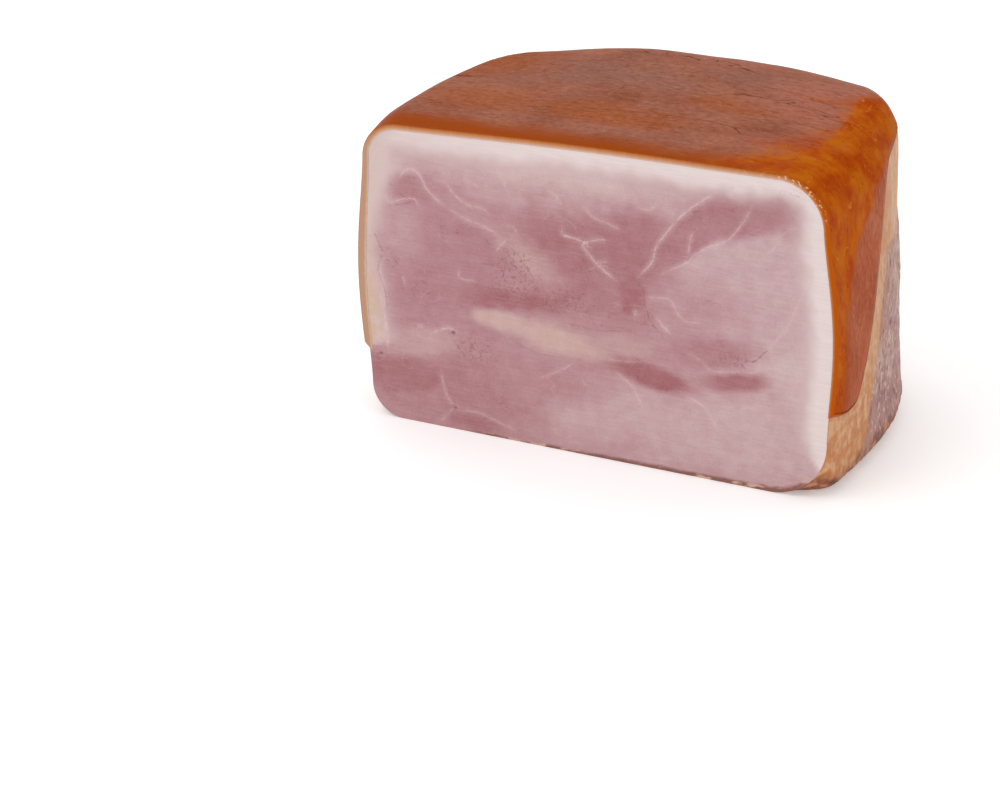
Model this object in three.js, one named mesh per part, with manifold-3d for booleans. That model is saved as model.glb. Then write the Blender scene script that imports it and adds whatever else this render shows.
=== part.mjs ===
// A half block of cooked, smoked and pressed ham, resting on its base.
// Millimetres, +Z up. The cut face is the plane that looks toward -Y; the natural, rounded end is at +Y.
// Two pieces: the lean, and the cap of fat with its rind that wraps the top and both sides.

import * as THREE from 'three';
import { mergeVertices } from 'three/addons/utils/BufferGeometryUtils.js';
import Module from 'manifold-3d';

const { clamp, lerp, smoothstep } = THREE.MathUtils;

// Driving dimensions of the cut face, measured without its rind: corner places and rounding radii.
const FACE = {
  bottomLeft: { x: -106.4, z: 0, radius: 15 },
  bottomRight: { x: 105.8, z: 0, radius: 21 },
  topRight: { x: 100.6, z: 142, radius: 17 },
  topLeft: { x: -106.6, z: 135.8, radius: 15 },
};
const BOW = { bottom: 0, right: 3.5, top: 2, left: 3.4 };   // how far each edge of the face bows outward
const BOW_ROUNDNESS = 1.4;      // 1 is a plain sine arch, more eases into the corners
const DEPTH = 140.8;            // from the cut face to the rounded end, without the rind
const AXIS_HEIGHT = 53;         // the height on which the sections close toward the rounded end

// How each side closes toward the rounded end: the depth where it starts, how square its turn is,
// and how far it swells out halfway back, at its foot and at its top.
const CLOSING = {
  left: { start: 20, power: 1.66, swell: [9, 7] },
  right: { start: 0, power: 3.9, swell: [5.2, 3.2] },
  top: { start: 73, power: 3.35 },
  bottom: { start: 90, power: 3.2 },
};
const HALF_WIDTH = 110;         // from the middle to the sides, where a change across the width is whole
const SIDE_BLEND = 55;          // the left side's turn passes into the right side's over this half width
const OVAL = { from: 0.84, halfWidth: 112 };  // from this share of the depth on, boxy sections turn oval
const CROWN = { height: 5, reachedAt: 80 };   // the top's crown over its middle, behind the cut
const TOP_RISE = 2;             // the top rises by this much over the whole depth
const RISE_HEIGHT = 80;         // crown and rise are whole this far above the axis, and nothing at it
const BOW_FADE = 90;            // the right side's bow is gone at this depth
const LIP = { depth: 12, radius: 10 };        // the lower right corner is fuller just behind the cut

const RIND = 2.2;               // thickness of the rind, which stands proud of the fat below its edge
const FAT = { left: 7, right: 9.5, top: 10, back: 7 };   // thickness of the fat
const GAP = 0.3;                // clearance between the fat and the lean

// Height of the rind's lower edge and of the fat's, on the left and the right side: low at the cut face,
// then rising between two depths to just under the top, so that the rounded end is bare lean.
const RIND_EDGE = {
  left: { low: 34, high: 128, from: 30, to: 100 },
  right: { low: 40, high: 132, from: 24, to: 80 },
};
const FAT_EDGE = {
  left: { low: 31.5, high: 112, from: 32, to: 106 },
  right: { low: 8, high: 116, from: 20, to: 86 },
};

// Soft muscle lumps of the rounded end: their share of the radius, the depths over which they grow,
// and the heights from the axis over which they fade out toward the flat base.
const LUMP = { share: 0.013, depths: [50, 115], heights: [-45, -25] };
// The waves that make them: turns round the axis, and radians per millimetre of depth.
const WAVES = {
  broad: { around: 3, along: 0.05, phase: 0 },
  cross: { around: 2, along: 0.07, phase: 1.3 },
  fine: { around: 7, along: -0.11, phase: 0 },
};
const FINE_SHARE = 0.5;         // the fine wave's height beside the broad one's

const SIDE_STEPS = 9;
const ARC_STEPS = 6;
const LIP_RINGS = 3;
const BODY_RINGS = 16;
const PAST_BLOCK = { bottom: 5, front: 4 };   // how far the inner shape cuts past the base and the cut face
const CUTTER = { width: 330, length: 210, top: 220, cell: 6 };   // the block that cuts along an edge
const MERGE_DISTANCE = 1e-4;
const SMALLEST = 1e-6;          // keeps a closed section's half sizes above zero

const NO_OUTSET = { left: 0, right: 0, top: 0, bottom: 0, back: 0, front: 0 };
const RIND_OUTSET = { ...NO_OUTSET, left: RIND, right: RIND, top: RIND, back: RIND };

function insideFat(extra) {
  return {
    left: -FAT.left - extra,
    right: -FAT.right - extra,
    top: -FAT.top - extra,
    back: -FAT.back - extra,
    ...PAST_BLOCK,
  };
}

// The four corners at a depth, moved out by the outset, in order round the section.
function cornersAt(depth, outset) {
  const lip = smoothstep(depth, 0, LIP.depth);
  const place = (corner, side, level, radius = corner.radius) => ({
    point: new THREE.Vector2(
      corner.x + (side === 'left' ? -outset.left : outset.right),
      corner.z + (level === 'top' ? outset.top : -outset.bottom),
    ),
    radius: radius + outset[level === 'top' ? 'top' : side],
  });
  return [
    place(FACE.bottomLeft, 'left', 'bottom'),
    place(FACE.bottomRight, 'right', 'bottom', lerp(FACE.bottomRight.radius, LIP.radius, lip)),
    place(FACE.topRight, 'right', 'top'),
    place(FACE.topLeft, 'left', 'top'),
  ];
}

// Where a corner's arc starts and ends, and its centre.
function arcOf(corners, index) {
  const { point, radius } = corners[index];
  const toPrevious = corners[(index + 3) % 4].point.clone().sub(point).normalize();
  const toNext = corners[(index + 1) % 4].point.clone().sub(point).normalize();
  const half = Math.acos(toPrevious.dot(toNext)) / 2;
  const reach = radius / Math.tan(half);
  const middle = toPrevious.clone().add(toNext).normalize();
  return {
    start: point.clone().addScaledVector(toPrevious, reach),
    end: point.clone().addScaledVector(toNext, reach),
    centre: point.clone().addScaledVector(middle, radius / Math.sin(half)),
    radius,
  };
}

// Points along a side from one arc's end to the next one's start, bowed outward.
function sidePoints(from, to, bow) {
  const along = to.clone().sub(from);
  const outward = new THREE.Vector2(along.y, -along.x).normalize();
  const points = [];
  for (let i = 0; i < SIDE_STEPS; i += 1) {
    const share = i / SIDE_STEPS;
    const push = bow * Math.sin(Math.PI * share) ** BOW_ROUNDNESS;
    points.push(from.clone().addScaledVector(along, share).addScaledVector(outward, push));
  }
  return points;
}

function arcPoints(arc) {
  const first = arc.start.clone().sub(arc.centre).angle();
  const last = arc.end.clone().sub(arc.centre).angle();
  const sweep = (last - first + 2 * Math.PI) % (2 * Math.PI);
  const points = [];
  for (let i = 0; i < ARC_STEPS; i += 1) {
    const turn = first + sweep * i / ARC_STEPS;
    points.push(new THREE.Vector2(Math.cos(turn), Math.sin(turn)).multiplyScalar(arc.radius).add(arc.centre));
  }
  return points;
}

// The section's outline before it closes: x to the right, y up, counterclockwise.
function outlineAt(depth, outset) {
  const corners = cornersAt(depth, outset);
  const rightBow = BOW.right * clamp(1 - depth / BOW_FADE, 0, 1);
  const bows = [BOW.bottom, rightBow, BOW.top, BOW.left];
  const arcs = corners.map((_, index) => arcOf(corners, index));
  return bows.flatMap((bow, index) => {
    const next = arcs[(index + 1) % 4];
    return [...sidePoints(arcs[index].end, next.start, bow), ...arcPoints(next)];
  });
}

// The share of its size that a side keeps at a depth.
function closing(side, depth, fullDepth) {
  const t = clamp((depth - side.start) / (fullDepth - side.start), 0, 1);
  return Math.max(1 - t ** side.power, 0) ** (1 / side.power);
}

// The lumps' height at a place, as a share of the radius there.
function lump(turn, depth, up) {
  const wave = ({ around, along, phase }) => Math.sin(around * turn + along * depth + phase);
  const height = wave(WAVES.broad) * wave(WAVES.cross) + FINE_SHARE * wave(WAVES.fine);
  return LUMP.share * height * smoothstep(depth, ...LUMP.depths) * smoothstep(up, ...LUMP.heights);
}

// One point of the outline, taken to its place in the ring at this depth.
function placeInRing(point, depth, fullDepth) {
  const keep = (name) => closing(CLOSING[name], depth, fullDepth);
  const reach = clamp(Math.abs(point.x) / HALF_WIDTH, 0, 1);
  const [swellLow, swellHigh] = CLOSING[point.x < 0 ? 'left' : 'right'].swell;
  const swellHere = lerp(swellLow, swellHigh, clamp(point.y / FACE.topRight.z, 0, 1));
  const swell = swellHere * Math.sin(Math.PI * depth / fullDepth) * reach;
  const sideKeep = lerp(keep('left'), keep('right'), smoothstep(point.x, -SIDE_BLEND, SIDE_BLEND));
  const x = (point.x + Math.sign(point.x) * swell) * sideKeep;
  let up = point.y - AXIS_HEIGHT;
  if (up > 0) {
    const crown = CROWN.height * (1 - reach ** 2) * clamp(depth / CROWN.reachedAt, 0, 1);
    up += (TOP_RISE * depth / fullDepth + crown) * clamp(up / RISE_HEIGHT, 0, 1);
    up *= keep('top');
  } else {
    up *= keep('bottom');
  }
  const half = {
    x: OVAL.halfWidth * keep(x < 0 ? 'left' : 'right'),
    up: (up > 0 ? FACE.topRight.z - AXIS_HEIGHT : AXIS_HEIGHT) * keep(up > 0 ? 'top' : 'bottom'),
  };
  const oval = ovalShare(x, up, half, smoothstep(depth / fullDepth, OVAL.from, 1));
  const stretch = oval * (1 + lump(Math.atan2(up, x), depth, up));
  return new THREE.Vector3(x * stretch, depth, AXIS_HEIGHT + up * stretch);
}

// How far a point moves toward the oval of these half sizes: 1 leaves it where it is.
function ovalShare(x, up, half, amount) {
  const outside = Math.hypot(x / Math.max(half.x, SMALLEST), up / Math.max(half.up, SMALLEST));
  return lerp(1, 1 / Math.max(outside, 1), amount);
}

function ringDepths(fullDepth, front) {
  const depths = front > 0 ? [-front, 0] : [0];
  for (let i = 1; i <= LIP_RINGS; i += 1) depths.push(LIP.depth * i / LIP_RINGS);
  for (let i = 1; i < BODY_RINGS; i += 1) {
    depths.push(LIP.depth + (fullDepth - LIP.depth) * Math.sin(Math.PI / 2 * i / BODY_RINGS));
  }
  return depths;
}

// A closed body of rings from the cut face to the rounded end.
function loft(outset) {
  const fullDepth = DEPTH + outset.back;
  const depths = ringDepths(fullDepth, outset.front);
  const rings = depths.map((depth) => outlineAt(Math.max(depth, 0), outset)
    .map((point) => placeInRing(point, Math.max(depth, 0), fullDepth).setY(depth)));
  const count = rings[0].length;
  const points = rings.flat();
  const frontMiddle = points.push(new THREE.Vector3(0, depths[0], AXIS_HEIGHT)) - 1;
  const backMiddle = points.push(new THREE.Vector3(0, fullDepth, AXIS_HEIGHT)) - 1;
  const faces = [];
  for (let j = 0; j < count; j += 1) {
    const next = (j + 1) % count;
    faces.push(frontMiddle, j, next);
    for (let i = 0; i < rings.length - 1; i += 1) {
      const here = i * count;
      const behind = here + count;
      faces.push(here + j, behind + j, behind + next);
      faces.push(here + j, behind + next, here + next);
    }
    const last = (rings.length - 1) * count;
    faces.push(last + j, backMiddle, last + next);
  }
  const geometry = new THREE.BufferGeometry().setFromPoints(points);
  geometry.setIndex(faces);
  return geometry;
}

// The height of an edge at a place: the left side's passes into the right side's across the width.
function edgeHeight(edge, x, depth) {
  const rise = ({ low, high, from, to }) => lerp(low, high, smoothstep(depth, from, to));
  return lerp(rise(edge.left), rise(edge.right), smoothstep(x, -HALF_WIDTH, HALF_WIDTH));
}

// A block with the space above an edge: its underside follows the edge's height.
function spaceAbove(edge, drop = 0) {
  const { width, length, top, cell } = CUTTER;
  const geometry = new THREE.BoxGeometry(width, length, top, width / cell, length / cell, 1);
  geometry.translate(0, DEPTH / 2, 0);
  const position = geometry.attributes.position;
  for (let i = 0; i < position.count; i += 1) {
    const isUnderside = position.getZ(i) < 0;
    const height = edgeHeight(edge, position.getX(i), position.getY(i)) - drop;
    position.setZ(i, isUnderside ? height : top);
  }
  return geometry;
}

const wasm = await Module();
wasm.setup();

function toSolid(geometry) {
  const bare = geometry.clone();
  bare.deleteAttribute('normal');
  bare.deleteAttribute('uv');
  const merged = mergeVertices(bare, MERGE_DISTANCE);
  const vertProperties = new Float32Array(merged.attributes.position.array);
  const triVerts = new Uint32Array(merged.index.array);
  return new wasm.Manifold(new wasm.Mesh({ numProp: 3, vertProperties, triVerts }));
}

function toGeometry(solid) {
  const { vertProperties, triVerts } = solid.getMesh();
  const geometry = new THREE.BufferGeometry();
  geometry.setAttribute('position', new THREE.BufferAttribute(vertProperties, 3));
  geometry.setIndex(new THREE.BufferAttribute(triVerts, 1));
  return geometry;
}

// Everything inside the rind's outer surface: the bare block, and the rind above its lower edge.
function wholeBlock(bareBlock) {
  const rind = toSolid(loft(RIND_OUTSET)).intersect(toSolid(spaceAbove(RIND_EDGE)));
  return bareBlock.add(rind);
}

function fatCapSolid(bareBlock) {
  const shell = wholeBlock(bareBlock).subtract(toSolid(loft(insideFat(0))));
  return shell.intersect(toSolid(spaceAbove(FAT_EDGE)));
}

function leanSolid(bareBlock) {
  const room = toSolid(spaceAbove(FAT_EDGE, GAP)).subtract(toSolid(loft(insideFat(GAP))));
  return bareBlock.subtract(room);
}

function piece(name, solid, look) {
  const mesh = new THREE.Mesh(toGeometry(solid), new THREE.MeshStandardMaterial({ metalness: 0, ...look }));
  mesh.name = name;
  return mesh;
}

// Puts the origin under the middle of the block's box.
function centreOnFloor(group) {
  const box = new THREE.Box3().setFromObject(group);
  const middle = box.getCenter(new THREE.Vector3());
  group.children.forEach((mesh) => mesh.position.set(-middle.x, -middle.y, -box.min.z));
}

const bareBlock = toSolid(loft(NO_OUTSET));
const ham = new THREE.Group();
ham.add(
  piece('lean', leanSolid(bareBlock), { color: 0xb58289, roughness: 0.5 }),
  piece('fat_cap', fatCapSolid(bareBlock), { color: 0x9c5b3c, roughness: 0.4 }),
);
centreOnFloor(ham);

export default ham;
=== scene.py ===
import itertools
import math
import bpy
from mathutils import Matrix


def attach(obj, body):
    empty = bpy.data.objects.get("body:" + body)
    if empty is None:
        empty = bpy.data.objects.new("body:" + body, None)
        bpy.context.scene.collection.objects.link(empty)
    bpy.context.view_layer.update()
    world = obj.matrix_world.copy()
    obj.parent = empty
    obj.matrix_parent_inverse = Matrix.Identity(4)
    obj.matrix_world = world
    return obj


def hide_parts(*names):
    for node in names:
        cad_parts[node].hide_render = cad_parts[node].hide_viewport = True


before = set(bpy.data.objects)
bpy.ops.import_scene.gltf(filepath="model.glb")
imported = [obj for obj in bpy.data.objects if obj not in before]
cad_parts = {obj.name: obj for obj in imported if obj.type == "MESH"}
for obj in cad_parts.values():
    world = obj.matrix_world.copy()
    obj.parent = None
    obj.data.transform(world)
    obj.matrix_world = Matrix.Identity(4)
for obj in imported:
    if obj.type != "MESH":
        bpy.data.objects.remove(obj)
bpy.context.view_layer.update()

# A half block of cooked ham: the cut face looks to the front, rind and fat wrap the top and both sides.
# Forms are worked out in millimetres, in the frame of the cut face: x to the right, depth from the face
# to the rounded end, and height. to_row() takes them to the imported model's frame, in metres.

from types import SimpleNamespace

import bpy
import numpy as np
from mathutils import Matrix, Vector

MM = 0.001

# ---------------------------------------------------------------- the block's form, as in its solids

# Corners of the cut face without its rind: place across, height and rounding, from the lower left one on.
CORNERS = ((-106.4, 0.0, 15.0), (105.8, 0.0, 26.0), (100.6, 142.0, 17.0), (-106.6, 135.8, 15.0))
BOWS = (0.0, 3.5, 1.15, 3.4)     # outward bow of the bottom, right, top and left side
BOW_ROUNDNESS = 1.4
# At the cut the upper right corner stands higher and is rounder; that is gone at this depth.
LIFT = dict(rise=1.9, rounding=3.5, depth=45.0)
BOW_FADE = 90.0                  # depth at which the right side's bow is gone
DEPTH = 140.8
AXIS_HEIGHT = 53.0
FACE_HEIGHT = CORNERS[2][1]
LEFT = dict(start=20.0, power=1.66, swell=(9.0, 7.0))
RIGHT = dict(start=0.0, power=3.9, swell=(5.2, 3.2))
TOP = dict(start=73.0, power=3.35)
BOTTOM = dict(start=90.0, power=3.2)
HALF_WIDTH = 110.0
SIDE_BLEND = 55.0
OVAL_FROM, OVAL_HALF_WIDTH = 0.84, 112.0
CROWN, CROWN_DEPTH = 5.2, 80.0
TOP_RISE, RISE_HEIGHT = 2.0, 80.0
LIP_DEPTH, LIP_RADIUS = 12.0, 10.0
LUMP_SHARE, LUMP_DEPTHS, LUMP_HEIGHTS = 0.013, (50.0, 115.0), (-45.0, -25.0)
# Waves of the lumps: how many go round the block, how they turn with depth, and where they start.
LUMP_WAVES = ((3, 0.05, 0.0), (2, 0.07, 1.3), (7, -0.11, 0.0))
RIND = 2.2
# Thickness of the fat round the cut: on the left at four heights, on the right, and on top. On the right
# it grows from nothing over FAT_FOOT's heights, and the top's takes over between FAT_SHOULDER's.
FAT_LEFT = ((30.0, 0.0), (38.0, 9.5), (85.0, 4.5), (118.0, 9.0))
FAT_RIGHT, FAT_TOP, FAT_FOOT, FAT_SHOULDER = 9.0, 8.0, (2.0, 34.0), (126.0, 138.0)
# Lower edges of the rind and of the fat: height at the face, height behind, and the depths between.
RIND_EDGE = ((34.0, 128.0, 30.0, 100.0), (42.0, 132.0, 20.5, 73.0))
SAG, SAG_DEPTH = 3.6, 30.0       # how the rind's edge hangs lower on the right, just behind the cut
FAT_EDGE = ((31.5, 112.0, 32.0, 106.0), (8.0, 92.0, 26.0, 66.0))
# The rind's edge behind the block is wavy: height, length and start of each wave, and where they set in.
EDGE_WAVES, WAVE_DEPTHS = ((2.6, 13.0, 0.4), (1.4, 5.7, 2.0)), (82.0, 112.0)
# The rind thins toward that edge: share of its thickness there, the strip's width, and where it sets in.
EDGE_THICKNESS, TAPER, TAPER_DEPTHS = 0.55, 15.0, (8.0, 34.0)

# Tones of the rind by place, and across its cut from the fat side out.
RIND_TOP = ((0.32, (143, 82, 60)), (0.5, (156, 94, 72)), (0.68, (168, 104, 78)))
RIND_SIDES = ((0.32, (160, 74, 42)), (0.5, (173, 88, 56)), (0.68, (184, 102, 72)))
# Amber of the upper right corner, made bright as a painted glow of light through the clear rind.
RIND_AMBER_GLOW = ((0.38, (166, 58, 0)), (0.5, (178, 78, 0)), (0.62, (188, 96, 4)))
RIND_CUT = (
    (0.0, (214, 182, 168)), (0.2, (204, 160, 134)), (0.5, (193, 134, 96)),
    (0.8, (186, 112, 58)), (1.0, (168, 84, 22)),
)
RIND_CUT_LEFT = (
    (0.0, (212, 180, 160)), (0.3, (188, 146, 120)), (0.85, (190, 144, 116)), (1.0, (176, 140, 114)),
)
# Tones of the block's own surface outside.
OUTSIDE_LEAN = (
    (0.34, (150, 110, 106)), (0.46, (176, 138, 130)), (0.56, (192, 158, 148)), (0.68, (208, 180, 166)),
)
OUTSIDE_FAT = ((0.26, (176, 124, 84)), (0.5, (204, 156, 118)), (0.74, (224, 190, 156)))
OUTSIDE_FOOT = ((0.36, (104, 56, 38)), (0.5, (140, 80, 54)), (0.62, (190, 132, 92)))
# Creases of the rind, in centimetres: how far they are drawn out, how they wander, spacing, half width,
# size of the stretches that show, and strength.
CREASES = (
    ((0.16, 0.5, 1.0), 3.0, 1.25, 0.052, 2.2, 0.85),
    ((0.30, 0.9, 1.0), 4.4, 0.62, 0.030, 1.0, 0.45),
    ((0.45, 1.2, 1.0), 5.0, 0.35, 0.024, 0.6, 0.35),
)
CREASE_MASK_STRETCH = (0.25, 1.0, 1.0)
# Clouds on the rind: which tone, strength, and middle and half sizes, across and in depth. The grey clouds
# are a painted sheen; the warm and rosy ones are the rind's own mottling.
GREY_SHEEN, WARM, ROSY = range(3)
CLOUD_TONES = ((149, 101, 88), (166, 86, 42), (173, 107, 88))
RIND_CLOUDS = {
    "grey_sheen_middle": (GREY_SHEEN, 1.0, (-26.0, 72.0), (48.0, 18.0)),
    "grey_sheen_left": (GREY_SHEEN, 0.6, (-62.0, 58.0), (26.0, 9.0)),
    "grey_sheen_far": (GREY_SHEEN, 0.7, (34.0, 84.0), (22.0, 16.0)),
    "grey_sheen_side": (GREY_SHEEN, 0.7, (-112.0, 70.0), (10.0, 26.0)),
    "warm_left": (WARM, 0.9, (-80.0, 84.0), (30.0, 26.0)),
    "warm_front": (WARM, 0.8, (-4.0, 32.0), (40.0, 11.0)),
    "warm_right": (WARM, 0.7, (44.0, 56.0), (34.0, 7.0)),
    "warm_left_front": (WARM, 0.7, (-70.0, 34.0), (30.0, 12.0)),
    "rosy_right": (ROSY, 1.0, (74.0, 74.0), (34.0, 34.0)),
    "rosy_crest": (ROSY, 0.8, (12.0, 108.0), (46.0, 14.0)),
    "rosy_front": (ROSY, 0.5, (66.0, 30.0), (28.0, 12.0)),
    "rosy_left": (ROSY, 0.6, (-92.0, 100.0), (22.0, 24.0)),
}
CLOUD_RIM = (0.3, 1.3)           # where a cloud thins out, as a share of its half sizes
# How far in depth the orange of the upper right corner reaches over the right side, by place along the
# outline. That orange is the clear rind's amber, with a painted glow of light shining through it.
ORANGE_REACH = ((2.2, 7.0), (2.6, 9.5), (2.85, 24.0), (2.95, 44.0), (3.1, 62.0), (3.3, 100.0))
ORANGE_TOP, ORANGE_SLANT = (3.97, 4.37), 0.0028
# Its border frays toward the back: from and to which depth, how far by turn and by depth, and how soft.
ORANGE_FAR, FRAY_TURN, FRAY_DEPTH, ORANGE_SOFT = (25.0, 80.0), 0.45, 40.0, (5.0, 18.0)

# Relief in millimetres: height, cell and seed of each layer.
CUT_SWELLS = ((0.10, 26, 3), (0.04, (9, 9, 3), 5))
LEAN_SWELL, LEAN_CRAGS = (0.4, 9, 13), (0.6, (7, 7, 9), 11)
LEAN_GRAIN, FAT_GRAIN = (0.3, (2.2, 2.2, 4.0), 17), (0.2, (3, 3, 12), 19)
LEAN_RISE, OUTSIDE_RISE = 0.2, 0.5
RIND_SWELL, RIND_GRAIN = (0.20, 34, 61), (0.05, (9, 2.6, 10), 67)
RAGGED = (0.5, (24, 9, 10), 71)
# Shares by which the fat's thickness sways, with cell and seed.
FAT_SWAYS = ((0.16, 22, 23), (0.08, 7, 29))
# Height or depth, and width, of what the drawn seams raise and sink.
SEAM_RIDGE, CRACK_DEPTH = (0.05, 0.6), (0.30, 0.5)
# Where lean takes over from fat outside, and where the relief outside and on the cut sets in.
LEAN_FROM, SHOWN_PAST_RIND, SHOWN_BEHIND = (-2, 4), (-3, 1), (0, 5)
SHOWN_UP, SHOWN_INSIDE = (0.5, 8), (0.8, 4)
# The rind's grain wanders by this much, with cell and seeds; folds in it; its crest, a dip on the left and
# how it stands out on the right: height, then middle and half sizes, or from and to.
FLOW, FLOW_CELL, FLOW_SEEDS = 3.0, 22, (41, 43)
FOLDS = dict(depth=0.12, width=0.12, noise=((30, 6.0, 10), 53), mask=((60, 24, 10), 47), shown=(-0.1, 0.5))
CREST, DIP = (0.9, (-62, 99), (26, 28)), (-1.6, (5.42, 40), (0.28, 22))
STAND_OUT = (1.0, (30, 60), (3.4, 2.8))

# ---------------------------------------------------------------- the photograph's camera

FRAME = (1000, 793)              # pixels
SENSOR, CLIP_END = 36.0, 20.0    # millimetres, metres
CAMERA = dict(place=(634.2, -1446.54, 802.13), elevation=26.079, azimuth=25.157, roll=-0.57, lens=148.74)

# ---------------------------------------------------------------- fineness of the meshes

FACE_CELLS = (260, 170)          # across and up, both even
BODY_RINGS = 106
MEASURED_TURNS = (0.5, 2.5, 3.5, 4.5, 5.5, 6.5)      # where their spacing is measured
RIND_CELLS = (400, 108)          # round the outline, and from the cut to the edge
EDGE_ROUND = 0.3                 # rounding of the cut face's edge
ROUND_IN = 0.3                   # how far into that rounding its middle ring lies
PROUD = 0.12                     # how far the rind's cut stands before the face
RIM_STEPS = 6                    # strips across the rind's edge
RIM_BULGE = 0.25                 # how far that edge bulges, as a share of the rind's thickness
# How deep the rind's cut reaches over the fat: on the top and right, and on the left.
UNDERLAP, UNDERLAP_LEFT, UNDERLAP_TURNS = 0.4, 1.6, (5.8, 6.4)
SIDE_TURNS = ((2.0, 3.2), (6.0, 7.0))    # turns between which the rind's edge lies on the right and left
EDGE_BLEND = 0.6                 # turns over which the columns cease to follow that edge


def clamp01(value):
    return np.clip(value, 0.0, 1.0)


def smoothstep(value, low, high):
    t = clamp01((value - low) / (high - low))
    return t * t * (3 - 2 * t)


def lerp(a, b, share):
    return a + (b - a) * share


def bell(distance, width):
    return np.exp(-(distance / width) ** 2)


# ---------------------------------------------------------------- form: sections are complex numbers,
# across + height * 1j

def corner_arcs(depth, outset):
    """Start, end, centre, radius, first angle and sweep of each corner's arc."""
    places = [x + math.copysign(1, x) * outset + 1j * (z + (outset if z else 0.0)) for x, z, _ in CORNERS]
    arcs = []
    lift = 1 - smoothstep(depth, 0, LIFT["depth"])
    places[2] = places[2] + 1j * LIFT["rise"] * lift
    for k, (_, _, radius) in enumerate(CORNERS):
        if k == 1:
            radius = lerp(radius, LIP_RADIUS, smoothstep(depth, 0, LIP_DEPTH))
        if k == 2:
            radius = radius + LIFT["rounding"] * lift
        radius = radius + outset + 0 * depth
        here = places[k]
        back, ahead = places[k - 1] - here, places[(k + 1) % 4] - here
        back, ahead = back / abs(back), ahead / abs(ahead)
        half = np.angle(back / ahead) / 2
        middle = (back + ahead) / abs(back + ahead)
        centre = here + middle * radius / np.sin(half)
        start, end = here + back * radius / np.tan(half), here + ahead * radius / np.tan(half)
        first = np.angle(start - centre)
        sweep = (np.angle(end - centre) - first) % (2 * math.pi)
        arcs.append((start, end, centre, radius, first, sweep))
    return arcs


def outline(turn, depth, outset=0.0):
    """The section before it closes. turn counts along it from the lower left: a side and a corner take 2."""
    turn = np.mod(turn, 8.0)
    depth = depth + 0 * turn
    arcs = corner_arcs(depth, outset)
    part = np.mod(turn, 2.0)
    result = np.zeros(turn.shape, complex)
    for k in range(4):
        _, leave, *_ = arcs[k]
        arrive, _, centre, radius, first, sweep = arcs[(k + 1) % 4]
        bow = BOWS[k] * (clamp01(1 - depth / BOW_FADE) if k == 1 else 1.0)
        along = arrive - leave
        push = bow * np.sin(math.pi * clamp01(part)) ** BOW_ROUNDNESS
        straight = leave + along * part - 1j * along / abs(along) * push
        curve = centre + radius * np.exp(1j * (first + sweep * (part - 1)))
        result = np.where(np.floor(turn / 2) == k, np.where(part < 1, straight, curve), result)
    return result


def closing(side, depth, full):
    t = clamp01((depth - side["start"]) / (full - side["start"]))
    return np.maximum(1 - t ** side["power"], 0) ** (1 / side["power"])


def lump(turn, depth, up):
    first, second, third = (np.sin(many * turn + twist * depth + start) for many, twist, start in LUMP_WAVES)
    lumps = LUMP_SHARE * (first * second + third / 2)
    return lumps * smoothstep(depth, *LUMP_DEPTHS) * smoothstep(up, *LUMP_HEIGHTS)


def surface(turn, depth, outset=0.0):
    """Points on the block's surface, or outset from it: across, depth, height."""
    full = DEPTH + outset
    point = outline(turn, depth, outset)
    across, height = point.real, point.imag
    reach = clamp01(abs(across) / HALF_WIDTH)
    is_left = across < 0
    low = np.where(is_left, LEFT["swell"][0], RIGHT["swell"][0])
    high = np.where(is_left, LEFT["swell"][1], RIGHT["swell"][1])
    swell = lerp(low, high, clamp01(height / FACE_HEIGHT)) * np.sin(math.pi * depth / full) * reach
    keep_left, keep_right = closing(LEFT, depth, full), closing(RIGHT, depth, full)
    keep = lerp(keep_left, keep_right, smoothstep(across, -SIDE_BLEND, SIDE_BLEND))
    x = (across + np.sign(across) * swell) * keep
    up = height - AXIS_HEIGHT
    crown = CROWN * (1 - reach ** 2) * clamp01(depth / CROWN_DEPTH)
    up = up + np.where(up > 0, (TOP_RISE * depth / full + crown) * clamp01(up / RISE_HEIGHT), 0)
    is_over = up > 0
    keep_up = np.where(is_over, closing(TOP, depth, full), closing(BOTTOM, depth, full))
    up = up * keep_up
    half_x = np.maximum(OVAL_HALF_WIDTH * np.where(x < 0, keep_left, keep_right), 1e-6)
    half_up = np.maximum(np.where(is_over, FACE_HEIGHT - AXIS_HEIGHT, AXIS_HEIGHT) * keep_up, 1e-6)
    outside = np.maximum(np.hypot(x / half_x, up / half_up), 1)
    stretch = lerp(1.0, 1 / outside, smoothstep(depth / full, OVAL_FROM, 1))
    stretch = stretch * (1 + lump(np.arctan2(up, x), depth, up))
    return np.stack([x * stretch, depth + 0 * x, AXIS_HEIGHT + up * stretch], -1)


def edge_height(edge, across, depth):
    left, right = (lerp(low, high, smoothstep(depth, start, end)) for low, high, start, end in edge)
    return lerp(left, right, smoothstep(across, -HALF_WIDTH, HALF_WIDTH))


def rind_edge_height(across, depth):
    sag = SAG * np.sin(math.pi * clamp01(depth / SAG_DEPTH)) * smoothstep(across, 0, HALF_WIDTH)
    waves = sum(high * np.sin(across / long + start) for high, long, start in EDGE_WAVES)
    return edge_height(RIND_EDGE, across, depth) - sag + waves * smoothstep(depth, *WAVE_DEPTHS)


def fine_depths(full, count=1200):
    """Depths that crowd toward the rounded end, where the surface turns."""
    return full * (1 - np.linspace(1, 0, count) ** 4)


def even_depths(full, count, outset):
    """Depths whose rings lie about evenly along the surface, from the face to just before the end."""
    depths = fine_depths(full)
    turns = np.array(MEASURED_TURNS)
    lines = surface(turns[:, None] + 0 * depths, depths + 0 * turns[:, None], outset)
    steps = np.linalg.norm(np.diff(lines, axis=1), axis=2).mean(0)
    length = np.concatenate([[0], np.cumsum(steps)])
    return np.interp(np.linspace(0, length[-1], count + 1)[:-1], length, depths)


def turns_between(first, last, count):
    """Turns that lie evenly along the outline at the face, both ends included."""
    turns = np.linspace(first, last, 4001)
    length = np.concatenate([[0], np.cumsum(abs(np.diff(outline(turns, 0.0))))])
    return np.interp(np.linspace(0, length[-1], count + 1), length, turns)


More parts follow.
